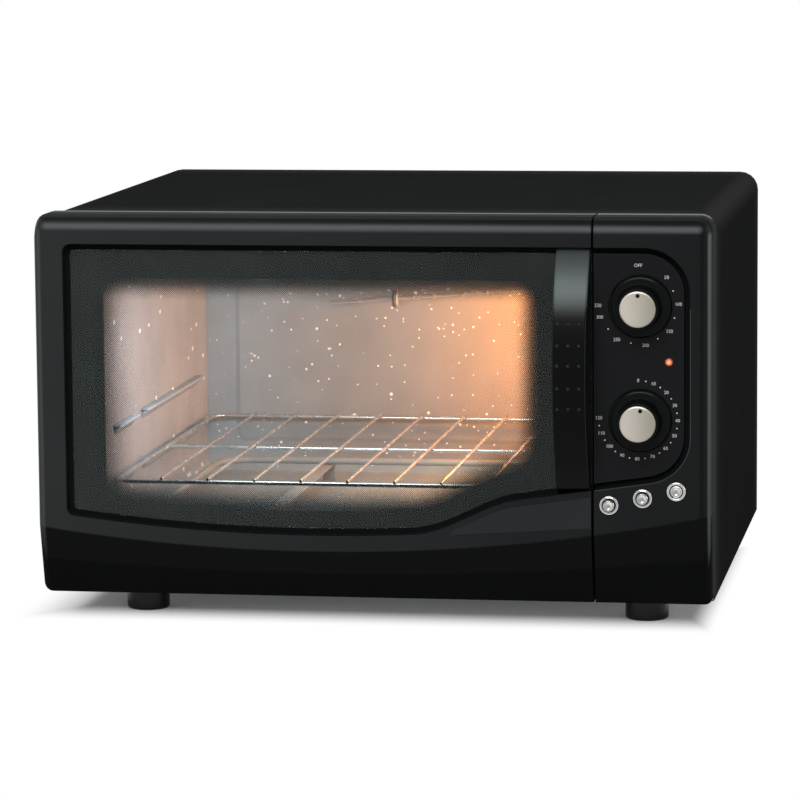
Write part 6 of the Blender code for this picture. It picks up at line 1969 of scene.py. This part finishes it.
@dataclass(frozen=True)
class Studio:
    """Pale floor, plain light and the camera."""

    softboxes: tuple[Softbox, ...] = (
        Softbox("front_softbox", (0.0, -2.18, 1.94), (0.0, -0.2, 0.2), 2.0, 0.95, 52.0),
        Softbox("rear_softbox", (0.3, 2.2, 2.6), (0.0, 0.0, 0.2), 2.4, 1.4, 16.0),
        Softbox("side_softbox", (2.7, -0.1, 1.0), (0.29, 0.0, 0.2), 1.4, 1.4, 9.3),
        Softbox("oven_fill", (-0.055, -0.18, 0.268), (-0.1, 0.14, 0.15), 0.2, 0.07, 0.85, (0.84, 1.0, 1.06)),
        Softbox("oven_top", (-0.06, -0.135, 0.29), (-0.06, -0.13, 0.0), 0.25, 0.13, 0.45, (0.8, 1.0, 1.07)),
        Softbox("oven_glow", (0.138, 0.05, 0.21), (-0.243, 0.05, 0.19), 0.34, 0.16, 1.55, (1.0, 0.49, 0.35)),
    )
    bulb_place: tuple[float, float, float] = (0.112, 0.1285, 0.25)
    bulb_power: float = 1.85
    bulb_colour: Colour = (1.0, 0.37, 0.0)
    bulb_size: float = 0.014
    daylight: float = 0.34
    eye: tuple[float, float, float] = (0.5721, -3.6064, 0.6580)
    yaw: float = 9.229
    pitch: float = 7.561
    roll: float = -0.462
    lens: float = 182.79

    def build(self) -> None:
        """Set up the room."""
        self.floor()
        self.daylight_dome()
        for softbox in self.softboxes:
            self.lamp(softbox)
        bulb = self.light("oven_bulb_light", "POINT", self.bulb_place, self.bulb_power, self.bulb_colour)
        bulb.data.shadow_soft_size = self.bulb_size
        self.camera()

    def floor(self) -> None:
        """Pale floor that keeps the shadow near the oven and turns plain white far from it."""
        mesh = bmesh.new()
        bmesh.ops.create_grid(mesh, x_segments=1, y_segments=1, size=30.0)
        ground = placed("studio_floor", mesh_data("studio_floor", mesh))
        bench = Bench("pale_floor")
        across, back, _ = bench.halves()
        limits = ((across, 0.258, 0.287), (across, -0.265, -0.335), (back, -0.108, -0.192), (back, 0.2, 0.27))
        far = 0.035
        for reach, near, end in limits:
            beyond = bench.soft_step(bench.span(reach, near, end, 0.0, 1.0), 0.0, 1.0)
            far = bench.sums("MAXIMUM", far, beyond)
        path = bench.add("ShaderNodeLightPath").outputs
        seen = bench.sums("MAXIMUM", path["Is Camera Ray"],
                          bench.sums("MAXIMUM", path["Is Glossy Ray"], path["Is Transmission Ray"]))
        bench.surface(Base_Color=bench.blend(seen, (0.55, 0.55, 0.55), (0.96, 0.96, 0.96)),
                      Roughness=0.9, Specular_IOR_Level=0.0)
        white = bench.add("ShaderNodeEmission", {0: (1.0, 1.0, 1.0), 1: 1.0}).outputs[0]
        above = bench.layered(bench.sums("MULTIPLY", far, seen), bench.shader.outputs[0], white)
        below = bench.add("ShaderNodeNewGeometry").outputs["Backfacing"]
        clear = bench.add("ShaderNodeBsdfTransparent").outputs[0]
        bench.layered(below, above, clear)
        ground.data.materials.append(bench.material)

    def daylight_dome(self) -> None:
        """Dim world light, white where it is seen directly, mirrored or through glass."""
        world = bpy.data.worlds.new("daylight")
        bpy.context.scene.world = world
        world.use_nodes = True
        nodes, links = world.node_tree.nodes, world.node_tree.links
        path = nodes.new("ShaderNodeLightPath").outputs
        strength = nodes["Background"].inputs["Strength"]
        first = nodes.new("ShaderNodeMath")
        second = nodes.new("ShaderNodeMath")
        scale = nodes.new("ShaderNodeMapRange")
        first.operation = second.operation = "MAXIMUM"
        links.new(path["Is Camera Ray"], first.inputs[0])
        links.new(path["Is Glossy Ray"], first.inputs[1])
        links.new(first.outputs[0], second.inputs[0])
        links.new(path["Is Transmission Ray"], second.inputs[1])
        links.new(second.outputs[0], scale.inputs[0])
        scale.inputs[3].default_value = self.daylight
        scale.inputs[4].default_value = 1.0
        links.new(scale.outputs[0], strength)
        nodes["Background"].inputs["Color"].default_value = (1.0, 1.0, 1.0, 1.0)

    def light(self, name: str, kind: str, place: Sequence[float], power: float,
              colour: Colour) -> bpy.types.Object:
        """Light of a kind at its place.

        Args:
            name: Name of the light.
            kind: Blender's name of the kind.
            place: Where it stands, in metres.
            power: Its power in watts.
            colour: Its colour.

        Returns:
            The light's object.
        """
        source = bpy.data.lights.new(name, kind)
        source.energy = power
        source.color = colour
        holder = placed(name, source)
        holder.location = place
        return holder

    def lamp(self, softbox: Softbox) -> None:
        """Put up a soft lamp.

        Args:
            softbox: The lamp's place, size and light.
        """
        holder = self.light(softbox.name, "AREA", softbox.place, softbox.power, softbox.colour)
        holder.data.shape = "RECTANGLE"
        holder.data.size, holder.data.size_y = softbox.width, softbox.height
        view = Vector(softbox.target) - Vector(softbox.place)
        holder.rotation_euler = view.to_track_quat("-Z", "Y").to_euler()
        holder.visible_camera = False

    def camera(self) -> None:
        """Camera at the photograph's angle."""
        yaw, pitch, roll = (math.radians(turn) for turn in (self.yaw, self.pitch, self.roll))
        right = Vector((math.cos(yaw), math.sin(yaw), 0.0))
        ahead = Vector((-math.sin(yaw) * math.cos(pitch), math.cos(yaw) * math.cos(pitch), -math.sin(pitch)))
        up = right.cross(ahead)
        side = right * math.cos(roll) + up * math.sin(roll)
        top = up * math.cos(roll) - right * math.sin(roll)
        data = bpy.data.cameras.new("camera")
        data.lens = self.lens
        data.sensor_width = 36.0
        data.clip_end = 100.0
        holder = placed("camera", data)
        holder.matrix_world = Matrix.Translation(self.eye) @ Matrix((side, top, -ahead)).transposed().to_4x4()
        bpy.context.scene.camera = holder


def main() -> None:
    """Build the oven's looks and the room."""
    logging.basicConfig(level=logging.INFO, format="%(name)s: %(message)s")
    fascia = Fascia()
    assemblies = (Studio(), Shell(), OvenBox(), Door(), fascia,
                  Knob("temperature", Body.TEMPERATURE, fascia.dials[0], 1.0),
                  Knob("timer", Body.TIMER, fascia.dials[1], 11.7), HiddenNodes())
    for assembly in assemblies:
        log.info("building %s", type(assembly).__name__)
        assembly.build()
    bpy.context.scene.view_settings.view_transform = "Standard"


if __name__ == "__main__":
    main()
